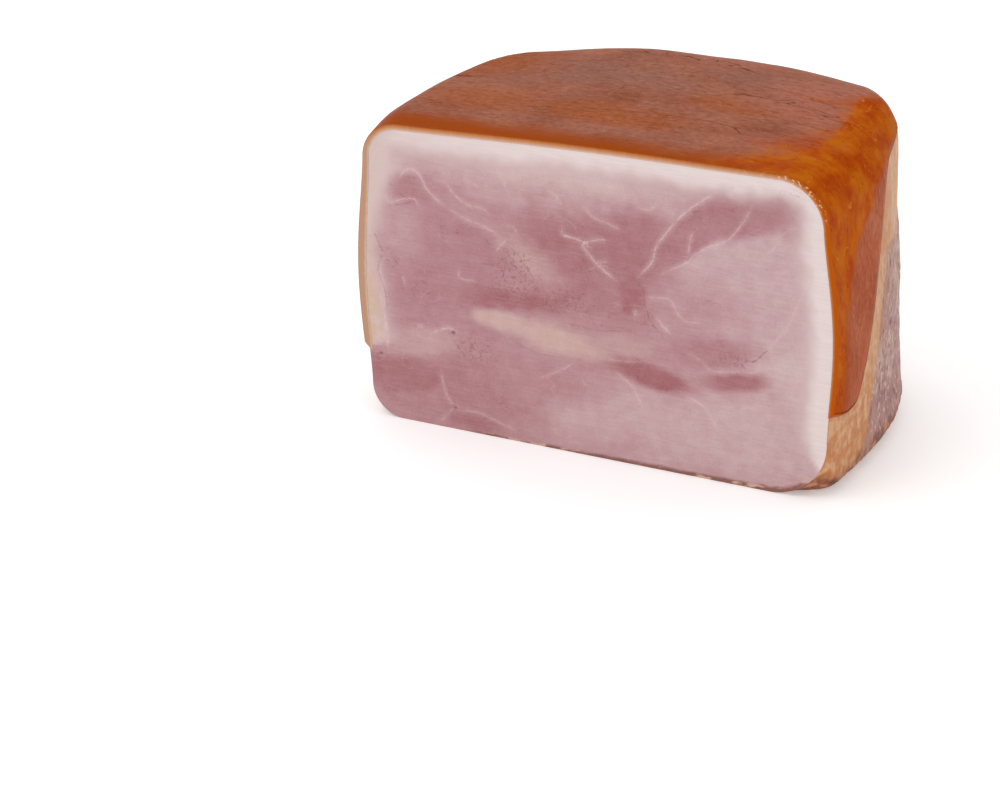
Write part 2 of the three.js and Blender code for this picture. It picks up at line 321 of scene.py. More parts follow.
# The block's solids are centred on its box, so the forms move by the middle of theirs.
LOOP = np.linspace(0, 8, 600)[:-1]
WIDEST = surface(LOOP[:, None], fine_depths(DEPTH + RIND, 300)[None, :-1], RIND)[..., 0]
MIDDLE = (WIDEST[WIDEST > 0].max() + WIDEST[WIDEST < 0].min()) / 2
TO_ROW = np.array([-MIDDLE, -DEPTH / 2, 0.0])


def to_row(points):
    return (np.asarray(points) + TO_ROW) * MM


# ---------------------------------------------------------------- seeded noise

# Odd factors and shifts that stir a place and a seed into one number.
STEPS, SEED_STEP = np.array([374761393, 668265263, 1440662683]), 974634777
STIRS = ((13, 1274126177), (15, 73244475))
WORD = 0xFFFFFFFF


def lattice(cells, seed):
    """Seeded numbers from -1 to 1, one for each whole-number place."""
    mixed = ((cells * STEPS).sum(-1) + seed * SEED_STEP) & WORD
    for shift, factor in STIRS:
        mixed = ((mixed ^ (mixed >> shift)) * factor) & WORD
    return ((mixed ^ (mixed >> 16)) & 0xFFFFFF) / 0x7FFFFF - 1


def noise(points, cell, seed):
    """Smooth noise from about -1 to 1, with features a cell wide; cell may differ by axis."""
    q = points / np.asarray(cell, float)
    base = np.floor(q).astype(np.int64)
    t = q - base
    t = t * t * t * (t * (6 * t - 15) + 10)
    total = np.zeros(len(points))
    for corner in itertools.product((0, 1), repeat=3):
        share = np.where(np.array(corner) == 1, t, 1 - t).prod(1)
        total += share * lattice(base + np.array(corner), seed)
    return total


def layered_noise(points, cell, seed, layers=3):
    cell = np.asarray(cell, float)
    total = sum(noise(points, cell / 2 ** k, seed + k) / 2 ** k for k in range(layers))
    return total / (2 - 2 ** (1 - layers))


def swell(points, high, cell, seed, make=layered_noise):
    return high * make(points, cell, seed)


# ---------------------------------------------------------------- camera

def camera_axes():
    tilt, swing, roll = (math.radians(CAMERA[k]) for k in ("elevation", "azimuth", "roll"))
    back = np.array([math.sin(swing) * math.cos(tilt), -math.cos(swing) * math.cos(tilt), math.sin(tilt)])
    right = np.array([math.cos(swing), math.sin(swing), 0.0])
    up = np.cross(back, right)
    return (right * math.cos(roll) + up * math.sin(roll), up * math.cos(roll) - right * math.sin(roll), back)


def on_face(pixels):
    """Where the camera's rays through these pixels meet the cut face, as across + height * 1j."""
    pixels = np.asarray(pixels, float).reshape(-1, 2)
    right, up, back = camera_axes()
    focal = CAMERA["lens"] / SENSOR * FRAME[0]
    side, rise = (pixels[:, :1] - FRAME[0] / 2) / focal, (FRAME[1] / 2 - pixels[:, 1:]) / focal
    way = side * right + rise * up - back
    place = np.array(CAMERA["place"])
    hit = place - way * (place[1] / way[:, 1:2])
    return hit[:, 0] + 1j * hit[:, 2]


def add_camera():
    data = bpy.data.cameras.new("camera")
    data.sensor_width = SENSOR
    data.lens = CAMERA["lens"]
    data.clip_end = CLIP_END
    camera = bpy.data.objects.new("camera", data)
    bpy.context.scene.collection.objects.link(camera)
    turn = Matrix([list(axis) for axis in camera_axes()]).transposed().to_4x4()
    camera.matrix_world = Matrix.Translation(to_row(CAMERA["place"])) @ turn
    bpy.context.scene.camera = camera


# ---------------------------------------------------------------- what the cut face shows
# Places here are pixels of the photograph's frame, because they are read from it; on_face() turns them
# into millimetres on the face.

# Pale seams of connective tissue: strength, then the way.
PALE_SEAMS = {
    "long_seam": (0.9, (638, 277), (652, 262), (655, 250), (663, 237), (686, 212), (719, 191)),
    "seam_to_fat": (0.8, (663, 273), (688, 262), (692, 256), (709, 247), (727, 241), (742, 224), (752, 208)),
    "small_tie": (0.7, (692, 233), (690, 242), (688, 254)),
    "middle_stroke": (1.0, (562, 229), (564, 235), (585, 242), (583, 246), (596, 263), (614, 279)),
    "middle_branch": (0.7, (584, 243), (596, 240), (606, 240)),
    "stroke_spur": (0.6, (596, 262), (607, 262)),
    "upper_thread": (0.6, (585, 208), (594, 218), (607, 223), (621, 230)),
    "upper_tick": (0.6, (640, 208), (648, 210), (656, 206)),
    "under_long": (0.6, (644, 297), (663, 298), (671, 301), (683, 320), (706, 323)),
    "under_spur": (0.8, (656, 317), (663, 326), (670, 334)),
    "right_muscle_top": (0.35, (775, 240), (792, 229), (803, 233), (809, 242), (811, 262)),
    "right_muscle_side": (0.5, (811, 262), (808, 284), (797, 306), (788, 327), (776, 341), (761, 359)),
    "right_muscle_foot": (0.5, (761, 359), (756, 372), (740, 372), (712, 371), (700, 360), (684, 352)),
    "patch_end": (0.7, (683, 394), (695, 401), (706, 409), (717, 428)),
    "patch_start": (0.7, (616, 372), (631, 385), (637, 395), (641, 404)),
    "lower_thread": (0.4, (740, 412), (745, 408), (758, 409)),
    "upper_left_roof": (0.8, (399, 178), (404, 171), (412, 169), (420, 176), (426, 188), (434, 197),
                        (447, 208)),
    "upper_left_slope": (0.6, (447, 208), (468, 220), (483, 226), (498, 235)),
    "upper_left_foot": (0.7, (388, 203), (395, 201), (403, 199), (414, 199), (419, 206)),
    "upper_left_side": (0.5, (388, 203), (386, 195)),
    "second_thread": (0.6, (436, 180), (447, 184), (452, 192), (466, 204), (483, 209), (490, 215)),
    "third_thread": (0.4, (462, 178), (472, 182), (478, 188)),
    "right_thread": (0.4, (505, 226), (513, 227), (517, 233)),
    "hook_thread": (0.6, (496, 251), (503, 243), (507, 240)),
    "left_knot": (0.6, (403, 276), (405, 284)),
    "middle_knot": (0.5, (459, 270), (460, 278), (475, 281)),
    "lower_left_seam": (0.6, (441, 372), (446, 393), (454, 406)),
    "lower_left_branch": (0.6, (457, 410), (476, 412), (490, 418), (507, 426), (515, 430)),
    "lower_left_foot": (0.5, (454, 408), (446, 416), (440, 422)),
    "tear": (0.9, (433, 332), (448, 328), (455, 331)),
    "tear_start": (0.5, (417, 325), (424, 328)),
    "bright_blob": (0.9, (635, 309), (635, 316)),
    "far_right_thread": (0.5, (768, 254), (776, 246), (780, 240)),
    "corner_arc": (0.7, (366, 182), (371, 160), (384, 144), (402, 139), (432, 139)),
    "left_fat_streak": (0.9, (379, 288), (383, 306), (387, 326), (388, 348)),
    "left_fat_streak_inner": (0.7, (376, 262), (382, 280), (385, 312), (384, 340)),
    "lower_middle_thread": (0.5, (540, 378), (556, 372), (573, 364)),
    "wedge_under": (0.4, (596, 358), (620, 361), (640, 362)),
    "top_left_ticks": (0.4, (494, 163), (502, 178), (508, 192)),
    "middle_top_tick": (0.5, (546, 188), (556, 196), (562, 206)),
}
# Dark lines: gaps between muscles.
DARK_SEAMS = {
    "left_fat_crack": (0.8, (373, 230), (378, 241), (383, 252)),
    "left_fat_fold": (0.6, (382, 256), (378, 268), (384, 288), (388, 312)),
    "slope_line": (0.7, (514, 247), (519, 256), (526, 268), (534, 279)),
    "knob_side": (0.8, (634, 280), (643, 290), (645, 305), (651, 322), (662, 336)),
    "knob_top": (0.6, (626, 279), (636, 281)),
    "wedge_roof": (0.5, (559, 322), (575, 326), (591, 329), (612, 331), (632, 331)),
    "wedge_floor": (0.35, (507, 335), (522, 346), (538, 353), (552, 356)),
    "right_muscle_crack": (1.0, (744, 360), (752, 362), (758, 359), (768, 350)),
    "short_cut": (0.6, (474, 263), (486, 264), (500, 265)),
    "lower_cut": (0.4, (468, 294), (478, 295), (486, 295)),
    "right_cut": (0.5, (706, 301), (716, 304), (722, 305)),
    "right_cut_low": (0.4, (703, 322), (710, 324)),
    "muscle_wrinkle": (0.4, (727, 363), (735, 364), (738, 362)),
    "seam_shade": (0.5, (688, 259), (694, 254), (700, 250)),
    "upper_left_floor": (0.6, (389, 206), (400, 204), (412, 202)),
    "fat_end_left": (0.7, (372, 353), (378, 354), (384, 353)),
}
# Small holes: radius and depth in millimetres, and the place.
HOLES = {
    "tear_hole": (1.0, 1.2, (453, 333)),
    "knot_hole": (0.8, 1.0, (455, 408)),
    "small_hole": (0.8, 0.6, (441, 227)),
    "pin_hole": (0.7, 0.5, (509, 275)),
    "fat_hole": (0.9, 0.9, (381, 353)),
}
# Patches of the cut face in the order they are laid: darkness of the lean from 0 to 1, creaminess from
# 0 to 1, how soft the rim is, turn in degrees, middle and half sizes.
PATCHES = {
    "top_haze": (0.30, 0.2, 0.9, 8, (560, 178), (150, 32)),
    "top_haze_low": (0.48, 0.2, 0.9, 10, (560, 202), (110, 16)),
    "right_haze": (0.30, 0.1, 0.7, -6, (806, 380), (48, 125)),
    "corner_haze": (0.34, 0.1, 0.9, 0, (392, 163), (26, 18)),
    "lower_right": (0.40, 0.1, 0.8, 8, (748, 440), (130, 64)),
    "lower_middle": (0.42, 0.12, 0.8, 8, (594, 416), (122, 34)),
    "lower_left": (0.78, 0.25, 0.6, 12, (455, 392), (95, 42)),
    "left_muscle": (0.78, 0.0, 0.35, 6, (442, 265), (72, 60)),
    "left_muscle_pale": (0.56, 0.1, 0.8, 0, (398, 230), (24, 34)),
    "upper_left_muscle": (0.80, 0.1, 0.4, 10, (412, 189), (28, 16)),
    "second_muscle": (0.68, 0.1, 0.6, 32, (462, 204), (46, 14)),
    "middle_muscle": (0.87, 0.15, 0.5, 12, (590, 262), (84, 56)),
    "middle_dark": (0.88, 0.1, 0.6, 40, (634, 240), (36, 36)),
    "knob": (0.98, 0.15, 0.4, 20, (634, 294), (13, 19)),
    "middle_warm": (0.58, 0.5, 0.8, 40, (530, 260), (40, 17)),
    "middle_low": (0.92, 0.2, 0.6, 6, (518, 300), (64, 13)),
    "right_muscle": (0.42, 0.05, 0.35, 10, (750, 292), (72, 70)),
    "upper_right_foot": (0.84, 0.05, 0.35, -34, (684, 240), (48, 17)),
    "upper_right_muscle": (0.84, 0.05, 0.3, -12, (740, 212), (58, 27)),
    "right_muscle_middle": (0.64, 0.15, 0.8, 12, (694, 308), (46, 28)),
    "right_muscle_low": (0.80, 0.1, 0.7, 2, (712, 352), (42, 16)),
    "under_wedge": (0.74, 0.15, 0.8, 8, (538, 384), (58, 20)),
    "wedge_head": (0.34, 0.75, 0.5, 10, (504, 321), (32, 10)),
    "wedge": (0.36, 0.75, 0.6, 18, (556, 339), (58, 15)),
    "wedge_end": (0.54, 0.4, 0.7, 4, (620, 344), (40, 10)),
    "wedge_start": (0.52, 0.35, 0.7, 3, (416, 342), (42, 14)),
    "left_foot_dark": (0.90, 0.15, 0.4, 8, (402, 374), (42, 18)),
    "red_patch": (0.99, 0.35, 0.5, 20, (650, 376), (46, 12)),
    "red_patch_end": (0.90, 0.3, 0.6, 0, (732, 383), (36, 10)),
    "foot_dark": (0.84, 0.2, 0.5, 14, (478, 422), (34, 9)),
}
# Webs of fine cracks: strength, and middle and half sizes.
WEBS = {
    "middle_left": (1.0, (516, 276), (30, 34)),
    "over_wedge": (0.7, (556, 300), (40, 14)),
    "under_tear": (0.8, (474, 350), (26, 15)),
    "left_edge": (0.6, (392, 258), (16, 14)),
    "right_foot": (0.7, (736, 360), (24, 10)),
}
WEB_RIM = (0.4, 1.1)             # where a web thins out, as a share of its half sizes
PATCH_BASE = (0.68, 0.1)         # darkness and creaminess where there is no patch
OUTER_SOFT = 0.6                 # how soft a patch's rim is outward, as a share of inward
PATCH_SWAY, PATCH_FRAY = (0.22, 14, 31), (0.08, 4, 37)     # of the patches' rims: share, cell and seed
# Tones of the face from pale to dark, as the photograph has them: how dark, and red, green and blue.
LEAN_TONES = (
    (0.0, (221, 203, 202)), (0.3, (204, 176, 177)), (0.5, (192, 156, 160)),
    (0.7, (181, 136, 142)), (0.85, (172, 122, 128)), (1.0, (163, 104, 109)),
)
CREAM_TONES = ((0.2, (208, 174, 164)), (0.6, (190, 150, 144)), (0.95, (165, 107, 106)))
FAT_TONE = (223, 206, 203)
FAT_LIGHT = (228, 213, 210)
NO_FAT, FAT_START = 14.0, 5.0    # fat thinner than the second of these fades out
FAT_RIM = (-4.0, 4.5)            # where fat turns to lean: millimetres past the fat's inner edge
HAZE = dict(reach=(-9.0, 1.0), share=0.6, colour=(208, 184, 183))
# A seam fades toward its ends, over a share of its length and down to a share of its strength. Distances
# to it are clipped, and it has strength only nearby; both in millimetres.
WAY_ENDS, WAY_TIP, WAY_CLIP, WAY_NEAR = 0.12, 0.3, 4.0, 3.0
FAR = 1e3                        # farther than anything on the face


def way_field(points, ways):
    """For each point of the face: signed distance to the nearest of the ways, and that way's strength."""
    best, signed, strength = np.full(points.shape, FAR), np.full(points.shape, FAR), np.zeros(points.shape)
    for power, *pixels in ways.values():
        line = smooth_way(on_face(pixels))
        length = np.concatenate([[0], np.cumsum(abs(np.diff(line)))])
        for k, (a, b) in enumerate(zip(line[:-1], line[1:])):
            along = b - a
            share = clamp01(((points - a) * np.conj(along)).real / abs(along) ** 2)
            offset = points - (a + along * share)
            distance = abs(offset)
            at = (length[k] + share * abs(along)) / length[-1]
            ends = np.minimum(smoothstep(at, 0, WAY_ENDS), smoothstep(1 - at, 0, WAY_ENDS))
            side = np.where((offset * np.conj(along)).imag >= 0, 1.0, -1.0)
            nearer = distance < best
            best = np.where(nearer, distance, best)
            signed = np.where(nearer, distance * side, signed)
            strength = np.where(nearer, power * lerp(WAY_TIP, 1.0, ends), strength)
    return np.clip(signed, -WAY_CLIP, WAY_CLIP), strength * (best < WAY_NEAR)


def smooth_way(line, steps=5):
    """A Catmull-Rom curve through the line's points."""
    line = np.concatenate([[2 * line[0] - line[1]], line, [2 * line[-1] - line[-2]]])
    t = np.arange(steps)[:, None] / steps
    a, b, c, d = line[:-3], line[1:-2], line[2:-1], line[3:]
    curve = b + 0.5 * t * (c - a + t * (2 * a - 5 * b + 4 * c - d + t * (3 * (b - c) + d - a)))
    return np.append(curve.T.ravel(), line[-2])


def patch_frame(middle, size):
    """A patch's middle on the face, and from there the ends of its half sizes to the right and up."""
    (x, y), (wide, high) = middle, size
    centre, right, over = on_face([middle, (x + wide, y), (x, y - high)])
    return centre, right - centre, over - centre


def patch_fields(points):
    """Darkness and creaminess of the lean at each point of the face."""
    flat = np.stack([points.real, 0 * points.real, points.imag], -1)
    wobble = swell(flat, *PATCH_SWAY) + swell(flat, *PATCH_FRAY, noise)
    dark, cream = np.full(points.shape, PATCH_BASE[0]), np.full(points.shape, PATCH_BASE[1])
    for darkness, creaminess, soft, turn, middle, size in PATCHES.values():
        centre, right, over = patch_frame(middle, size)
        local = (points - centre) / np.exp(1j * (np.angle(right) - math.radians(turn)))
        reach = np.hypot(local.real / abs(right), local.imag / abs(over)) + wobble
        share = 1 - smoothstep(reach, 1 - soft, 1 + soft * OUTER_SOFT)
        dark, cream = lerp(dark, darkness, share), lerp(cream, creaminess, share)
    return dark, cream


def web_field(points):
    """How strongly the webs of cracks show at each point of the face."""
    web = np.zeros(points.shape)
    for strength, middle, size in WEBS.values():
        centre, right, over = patch_frame(middle, size)
        local = points - centre
        reach = np.hypot(local.real / abs(right), local.imag / abs(over))
        web = np.maximum(web, strength * (1 - smoothstep(reach, *WEB_RIM)))
    return web


# ---------------------------------------------------------------- meshes

def coons(bottom, right, top, left):
    """A grid of places between four edges, which run left to right or bottom to top."""
    u, v = np.linspace(0, 1, len(bottom))[:, None], np.linspace(0, 1, len(left))[None, :]
    between = lerp(bottom[:, None], top[:, None], v) + lerp(left[None, :], right[None, :], u)
    return between - lerp(lerp(bottom[0], bottom[-1], u), lerp(top[0], top[-1], u), v)


def grid_quads(ids):
    return np.stack([ids[:-1, :-1], ids[1:, :-1], ids[1:, 1:], ids[:-1, 1:]], -1).reshape(-1, 4)


def ring_quads(front, behind):
    return np.stack([front, behind, np.roll(behind, -1), np.roll(front, -1)], -1)


def halving_triangles(front, behind):
    """Between a ring and one behind it with half as many points."""
    even, odd, after = front[::2], front[1::2], np.roll(front[::2], -1)
    follow = np.roll(behind, -1)
    return np.concatenate([
        np.stack([even, behind, odd], -1),
        np.stack([odd, behind, follow], -1),
        np.stack([odd, follow, after], -1),
    ])


def make_object(name, points, faces, materials):
    mesh = bpy.data.meshes.new(name)
    mesh.from_pydata(to_row(points).tolist(), [], [f.tolist() for group in faces for f in group])
    mesh.validate()
    mesh.shade_smooth()
    for material in materials:
        mesh.materials.append(material)
    piece = bpy.data.objects.new(name, mesh)
    bpy.context.scene.collection.objects.link(piece)
    return piece


def vertex_normals(piece):
    normals = np.zeros(len(piece.data.vertices) * 3, np.float32)
    piece.data.vertex_normals.foreach_get("vector", normals)
    return normals.reshape(-1, 3).astype(float)


def raise_surface(piece, height):
    """Moves each vertex out along its normal by its height in millimetres."""
    places = np.zeros(len(piece.data.vertices) * 3, np.float32)
    piece.data.vertices.foreach_get("co", places)
    places = places.reshape(-1, 3) + vertex_normals(piece) * height[:, None] * MM
    piece.data.vertices.foreach_set("co", places.ravel().astype(np.float32))
    piece.data.update()


def set_fields(piece, **fields):
    """Numbers and vectors at each vertex that the material reads."""
    for name, values in fields.items():
        kind, key = ("FLOAT", "value") if values.ndim == 1 else ("FLOAT_VECTOR", "vector")
        field = piece.data.attributes.new(name, kind, "POINT")
        field.data.foreach_set(key, values.astype(np.float32).ravel())


# ---------------------------------------------------------------- the body: lean with its fat

def body_rings():
    """Turns of the loop round the face, starting at the lower left corner's middle, and its four edges."""
    across, up = FACE_CELLS
    spans = ((-0.5, 1.5, across), (1.5, 3.5, up), (3.5, 5.5, across), (5.5, 7.5, up))
    return [turns_between(*span) for span in spans]


def inset_loop(loop, distance):
    way = np.roll(loop, -1) - np.roll(loop, 1)
    return loop + 1j * way / abs(way) * distance


def build_body(materials):
    edges = body_rings()
    turns = np.concatenate([edge[:-1] for edge in edges])
    rim = outline(turns, 0.0)
    inner = inset_loop(rim, EDGE_ROUND)
    starts = np.cumsum([0] + [len(edge) - 1 for edge in edges])
    closed = np.append(inner, inner[0])
    bottom, right, top, left = (closed[a:b + 1] for a, b in zip(starts[:-1], starts[1:]))
    grid = coons(bottom, right, top[::-1], left[::-1])
    ids = np.arange(grid.size).reshape(grid.shape)
    loop_ids = np.concatenate([ids[:-1, 0], ids[-1, :-1], ids[:0:-1, -1], ids[0, :0:-1]])

    rounding = inset_loop(rim, EDGE_ROUND * ROUND_IN)
    points = [np.stack([grid.real, 0 * grid.real, grid.imag], -1).reshape(-1, 3)]
    points.append(np.stack([rounding.real, EDGE_ROUND * ROUND_IN + 0 * rim.real, rounding.imag], -1))
    points.append(surface(turns, EDGE_ROUND + 0 * turns))
    faces = [grid_quads(ids)]
    count = grid.size
    previous = loop_ids
    for _ in range(2):
        ring = count + np.arange(len(turns))
        faces.append(ring_quads(previous, ring))
        previous, count = ring, count + len(turns)
    sparse = turns[::2]
    depths = even_depths(DEPTH, BODY_RINGS, 0.0)[1:]
    for depth in depths:
        ring = count + np.arange(len(sparse))
        points.append(surface(sparse, depth + 0 * sparse))
        join = halving_triangles if len(previous) > len(ring) else ring_quads
        faces.append(join(previous, ring))
        previous, count = ring, count + len(sparse)
    points.append(np.array([[0.0, DEPTH, AXIS_HEIGHT]]))
    faces.append(np.stack([previous, np.full(len(previous), count), np.roll(previous, -1)], -1))
    points = np.concatenate(points)

    body = make_object("ham_body", points, faces, materials)
    on_cut = np.arange(len(points)) < grid.size + len(turns)
    cut_faces = len(faces[0]) + len(faces[1])
    slots = np.ones(len(body.data.polygons), np.int32)
    slots[:cut_faces] = 0
    body.data.polygons.foreach_set("material_index", slots)
    return body, points, on_cut, rim


def distance_in(points, rim):
    """How far inside the rim each point of the face lies, and which side and height the nearest rim has."""
    best, nearest = np.full(points.shape, FAR), np.zeros(points.shape, complex)
    for place in rim[::2]:
        distance = abs(points - place)
        nearer = distance < best
        best, nearest = np.where(nearer, distance, best), np.where(nearer, place, nearest)
    return best, nearest


def fat_thickness(nearest):
    """Thickness of the fat behind each place of the rim: none at the bottom."""
    across, height = nearest.real, nearest.imag
    left = np.interp(height, *np.transpose(FAT_LEFT))
    side = np.where(across < 0, left, FAT_RIGHT * smoothstep(height, *FAT_FOOT))
    return lerp(side, FAT_TOP, smoothstep(height, *FAT_SHOULDER))


def dress_body(body, points, on_cut, rim):
    face = points[:, 0] + 1j * points[:, 2]
    inside, nearest = distance_in(face, rim)
    thickness = fat_thickness(nearest) * (1 + sum(swell(points, *sway, noise) for sway in FAT_SWAYS))
    fat = np.where(on_cut, thickness - inside - NO_FAT * clamp01(1 - thickness / FAT_START), 0)
    dark, cream = patch_fields(face)
    pale, pale_power = way_field(face, PALE_SEAMS)
    crack, crack_power = way_field(face, DARK_SEAMS)
    x, depth, z = points.T
    past_rind = rind_edge_height(x, depth) - z
    past_fat = edge_height(FAT_EDGE, x, depth) - z

    cut_relief = sum(swell(points, *layer) for layer in CUT_SWELLS)
    cut_relief += SEAM_RIDGE[0] * bell(pale, SEAM_RIDGE[1]) * pale_power
    cut_relief -= CRACK_DEPTH[0] * bell(crack, CRACK_DEPTH[1]) * crack_power
    holes = np.zeros(len(points))
    for radius, deep, place in HOLES.values():
        holes = np.maximum(holes, deep * bell(abs(face - on_face([place])[0]), radius))
    cut_relief = (cut_relief - holes) * smoothstep(inside, *SHOWN_INSIDE)

    lean = smoothstep(past_fat, *LEAN_FROM)
    lean_relief = swell(points, *LEAN_SWELL) + abs(swell(points, *LEAN_CRAGS)) + LEAN_RISE
    lean_relief += swell(points, *LEAN_GRAIN, noise)
    outer_relief = lerp(swell(points, *FAT_GRAIN), lean_relief, lean) + OUTSIDE_RISE
    shown = smoothstep(past_rind, *SHOWN_PAST_RIND) * smoothstep(depth, *SHOWN_BEHIND)
    shown *= smoothstep(z, *SHOWN_UP)
    raise_surface(body, np.where(on_cut, cut_relief, outer_relief * shown))
    set_fields(
        body, fat=fat, inside=inside, rim_height=nearest.imag, dark=dark, cream=cream, pale=pale,
        pale_power=pale_power, crack=crack, crack_power=crack_power, hole=holes, web=web_field(face),
        past_fat=past_fat, height=z, across=x,
    )


# ---------------------------------------------------------------- the rind

def edge_turns(turns, depths):
    """At each depth, which of these turns of the rind's surface lies on its lower edge."""
    found = []
    for depth in depths:
        line = surface(turns, np.full(turns.shape, depth), RIND)
        over = line[:, 2] - rind_edge_height(line[:, 0], depth)
        order = np.argsort(over)
        found.append(np.interp(0, over[order], turns[order]))
    return np.array(found)


class RindColumns:
    """Lines from the cut to the rind's lower edge. The outermost follow that edge for its first stretch."""

    def __init__(self, count):
        self.depths = np.linspace(0, SAG_DEPTH, 40)
        self.edges = [edge_turns(np.linspace(*span, 400), self.depths) for span in SIDE_TURNS]
        self.starts = turns_between(self.edges[0][0], self.edges[1][0], count)

    def turns(self, start, depths):
        """The turn of one column at each depth."""
        right, left = (np.interp(depths, self.depths, edge) - edge[0] for edge in self.edges)
        near_right = 1 - smoothstep(start - self.starts[0], 0, EDGE_BLEND)
        near_left = 1 - smoothstep(self.starts[-1] - start, 0, EDGE_BLEND)
        return start + right * near_right + left * near_left

    def line(self, start, depths, outset):
        return surface(self.turns(start, depths), depths, outset)

    def reach(self):
        """The depth at which each column leaves the rind's lower edge."""
        depths = fine_depths(DEPTH + RIND, 2500)[:-1]
        reach = np.zeros(len(self.starts))
        for i, start in enumerate(self.starts):
            line = self.line(start, depths, RIND)
            over = line[:, 2] - rind_edge_height(line[:, 0], line[:, 1])
            under = np.flatnonzero((over < 0) & (depths > SAG_DEPTH * 0.9))
            reach[i] = depths[under[0]] if len(under) else depths[-1]
        return smooth_reach(reach)


def smooth_reach(reach, passes=6):
    for _ in range(passes):
        reach = np.concatenate([reach[:1], (reach[:-2] + reach[1:-1] * 2 + reach[2:]) / 4, reach[-1:]])
    return reach


def rind_grid(columns, outsets, reach, rows):
    """Rows along each column, evenly from the cut to the column's end; reach is the end's depth."""
    grid = np.zeros((len(reach), rows + 1, 3))
    lengths = np.zeros((len(reach), rows + 1))
    for i, (start, end, outset) in enumerate(zip(columns.starts, reach, outsets)):
        depths = -PROUD + (end + PROUD) * (1 - np.linspace(1, 0, 400) ** 2)
        line = columns.line(start, depths, outset)
        length = np.concatenate([[0], np.cumsum(np.linalg.norm(np.diff(line, axis=0), axis=1))])
        even = np.linspace(0, length[-1], rows + 1)
        grid[i] = columns.line(start, np.interp(even, length, depths), outset)
        lengths[i] = even
    return grid, lengths


def build_rind(material):
    count, rows = RIND_CELLS
    columns = RindColumns(count)
    starts, reach = columns.starts, columns.reach()
    underlap = lerp(UNDERLAP, UNDERLAP_LEFT, smoothstep(starts, *UNDERLAP_TURNS))
    outer, lengths = rind_grid(columns, np.full(starts.shape, RIND), reach, rows)
    inner, _ = rind_grid(columns, -underlap, reach * 0.998, rows)
    over = outer[..., 2] - rind_edge_height(outer[..., 0], outer[..., 1])
    thin = lerp(EDGE_THICKNESS, 1.0, smoothstep(over, 0, TAPER))
    outer = lerp(inner, outer, lerp(1.0, thin, smoothstep(outer[..., 1], *TAPER_DEPTHS))[..., None])
    ids = np.arange(outer[..., 0].size).reshape(outer.shape[:2])
    loop = np.concatenate([ids[:-1, 0], ids[-1, :-1], ids[:0:-1, -1], ids[0, :0:-1]])
    points = [outer.reshape(-1, 3), inner.reshape(-1, 3)]
    size = ids.size
    faces = [grid_quads(ids)[:, ::-1], grid_quads(ids + size)]

    flow_u = np.gradient(outer, axis=0)
    flow_v = np.gradient(outer, axis=1)
    sideways = np.zeros_like(outer)
    sideways[0] -= unit(flow_u[0])
    sideways[-1] += unit(flow_u[-1])
    sideways[:, -1] += unit(flow_v[:, -1])
    free = np.zeros(outer.shape[:2])
    free[[0, -1]] = 1
    free[:, -1] = 1
    away = unit(sideways.reshape(-1, 3)[loop]) * free.ravel()[loop][:, None]
    half = (outer.reshape(-1, 3)[loop] - inner.reshape(-1, 3)[loop]) / 2
    middle = (outer.reshape(-1, 3)[loop] + inner.reshape(-1, 3)[loop]) / 2
    count = 2 * size
    previous = loop
    angles = math.pi * np.arange(1, RIM_STEPS) / RIM_STEPS
    for angle in angles:
        points.append(middle + half * math.cos(angle) + away * RIND * RIM_BULGE * math.sin(angle))
        ring = count + np.arange(len(loop))
        faces.append(ring_quads(previous, ring))
        previous, count = ring, count + len(loop)
    faces.append(ring_quads(previous, loop + size))

    rind = make_object("ham_rind", np.concatenate(points), faces, [material])
    along = np.concatenate([[0], np.cumsum(np.linalg.norm(np.diff(outer[:, 0], axis=0), axis=1))])
    grain = np.stack([np.broadcast_to(along[:, None], ids.shape), lengths, 0 * lengths], -1).reshape(-1, 3)
    turn = np.broadcast_to(starts[:, None], ids.shape).ravel()
    grain, turn = (np.concatenate([field, field] + [field[loop]] * len(angles)) for field in (grain, turn))
    skin = np.concatenate([np.ones(size), np.zeros(size), np.repeat((1 + np.cos(angles)) / 2, len(loop))])
    return rind, np.concatenate(points), grain, turn, skin


def unit(vectors):
    return vectors / np.maximum(np.linalg.norm(vectors, axis=-1, keepdims=True), 1e-9)


def dress_rind(rind, points, grain, turn, skin):
    x, depth, _ = points.T
    drift = [noise(grain, FLOW_CELL, seed) for seed in FLOW_SEEDS]
    flow = grain + FLOW * np.stack([*drift, 0 * x], -1)
    relief = swell(points, *RIND_SWELL) + swell(flow, *RIND_GRAIN)
    shown = smoothstep(noise(grain, *FOLDS["mask"]), *FOLDS["shown"])
    relief -= FOLDS["depth"] * bell(noise(flow, *FOLDS["noise"]), FOLDS["width"]) * shown
    for place, (high, middle, size) in ((x, CREST), (turn, DIP)):
        relief += high * bell(place - middle[0], size[0]) * bell(depth - middle[1], size[1])
    high, depths, turns = STAND_OUT
    relief += high * smoothstep(depth, *depths) * smoothstep(turn, *turns)
    raise_surface(rind, np.where(skin > 0.9, relief * smoothstep(depth, 0, 3), 0))

    # The orange corner: the rind's amber with a painted glow of light through it, fraying toward the back.
    ragged = swell(grain, *RAGGED)
    far = smoothstep(depth, *ORANGE_FAR)
    corner = 1 - smoothstep(turn + depth * ORANGE_SLANT + FRAY_TURN * ragged * far, *ORANGE_TOP)
    reach = np.interp(turn, *np.transpose(ORANGE_REACH)) + FRAY_DEPTH * ragged * far
    corner *= smoothstep((reach - depth) / lerp(*ORANGE_SOFT, far), -1, 1)
    # Clouds: the grey ones are a painted sheen, the warm and rosy ones the rind's own mottling.
    clouds = np.zeros(points.shape)
    for kind, strength, middle, size in RIND_CLOUDS.values():
        out = np.hypot((x - middle[0]) / size[0], (depth - middle[1]) / size[1]) + ragged
        clouds[:, kind] = np.maximum(clouds[:, kind], strength * (1 - smoothstep(out, *CLOUD_RIM)))
    set_fields(rind, grain=grain / 10, turn=turn, from_cut=depth, skin=skin, corner=corner, clouds=clouds)


# ---------------------------------------------------------------- materials

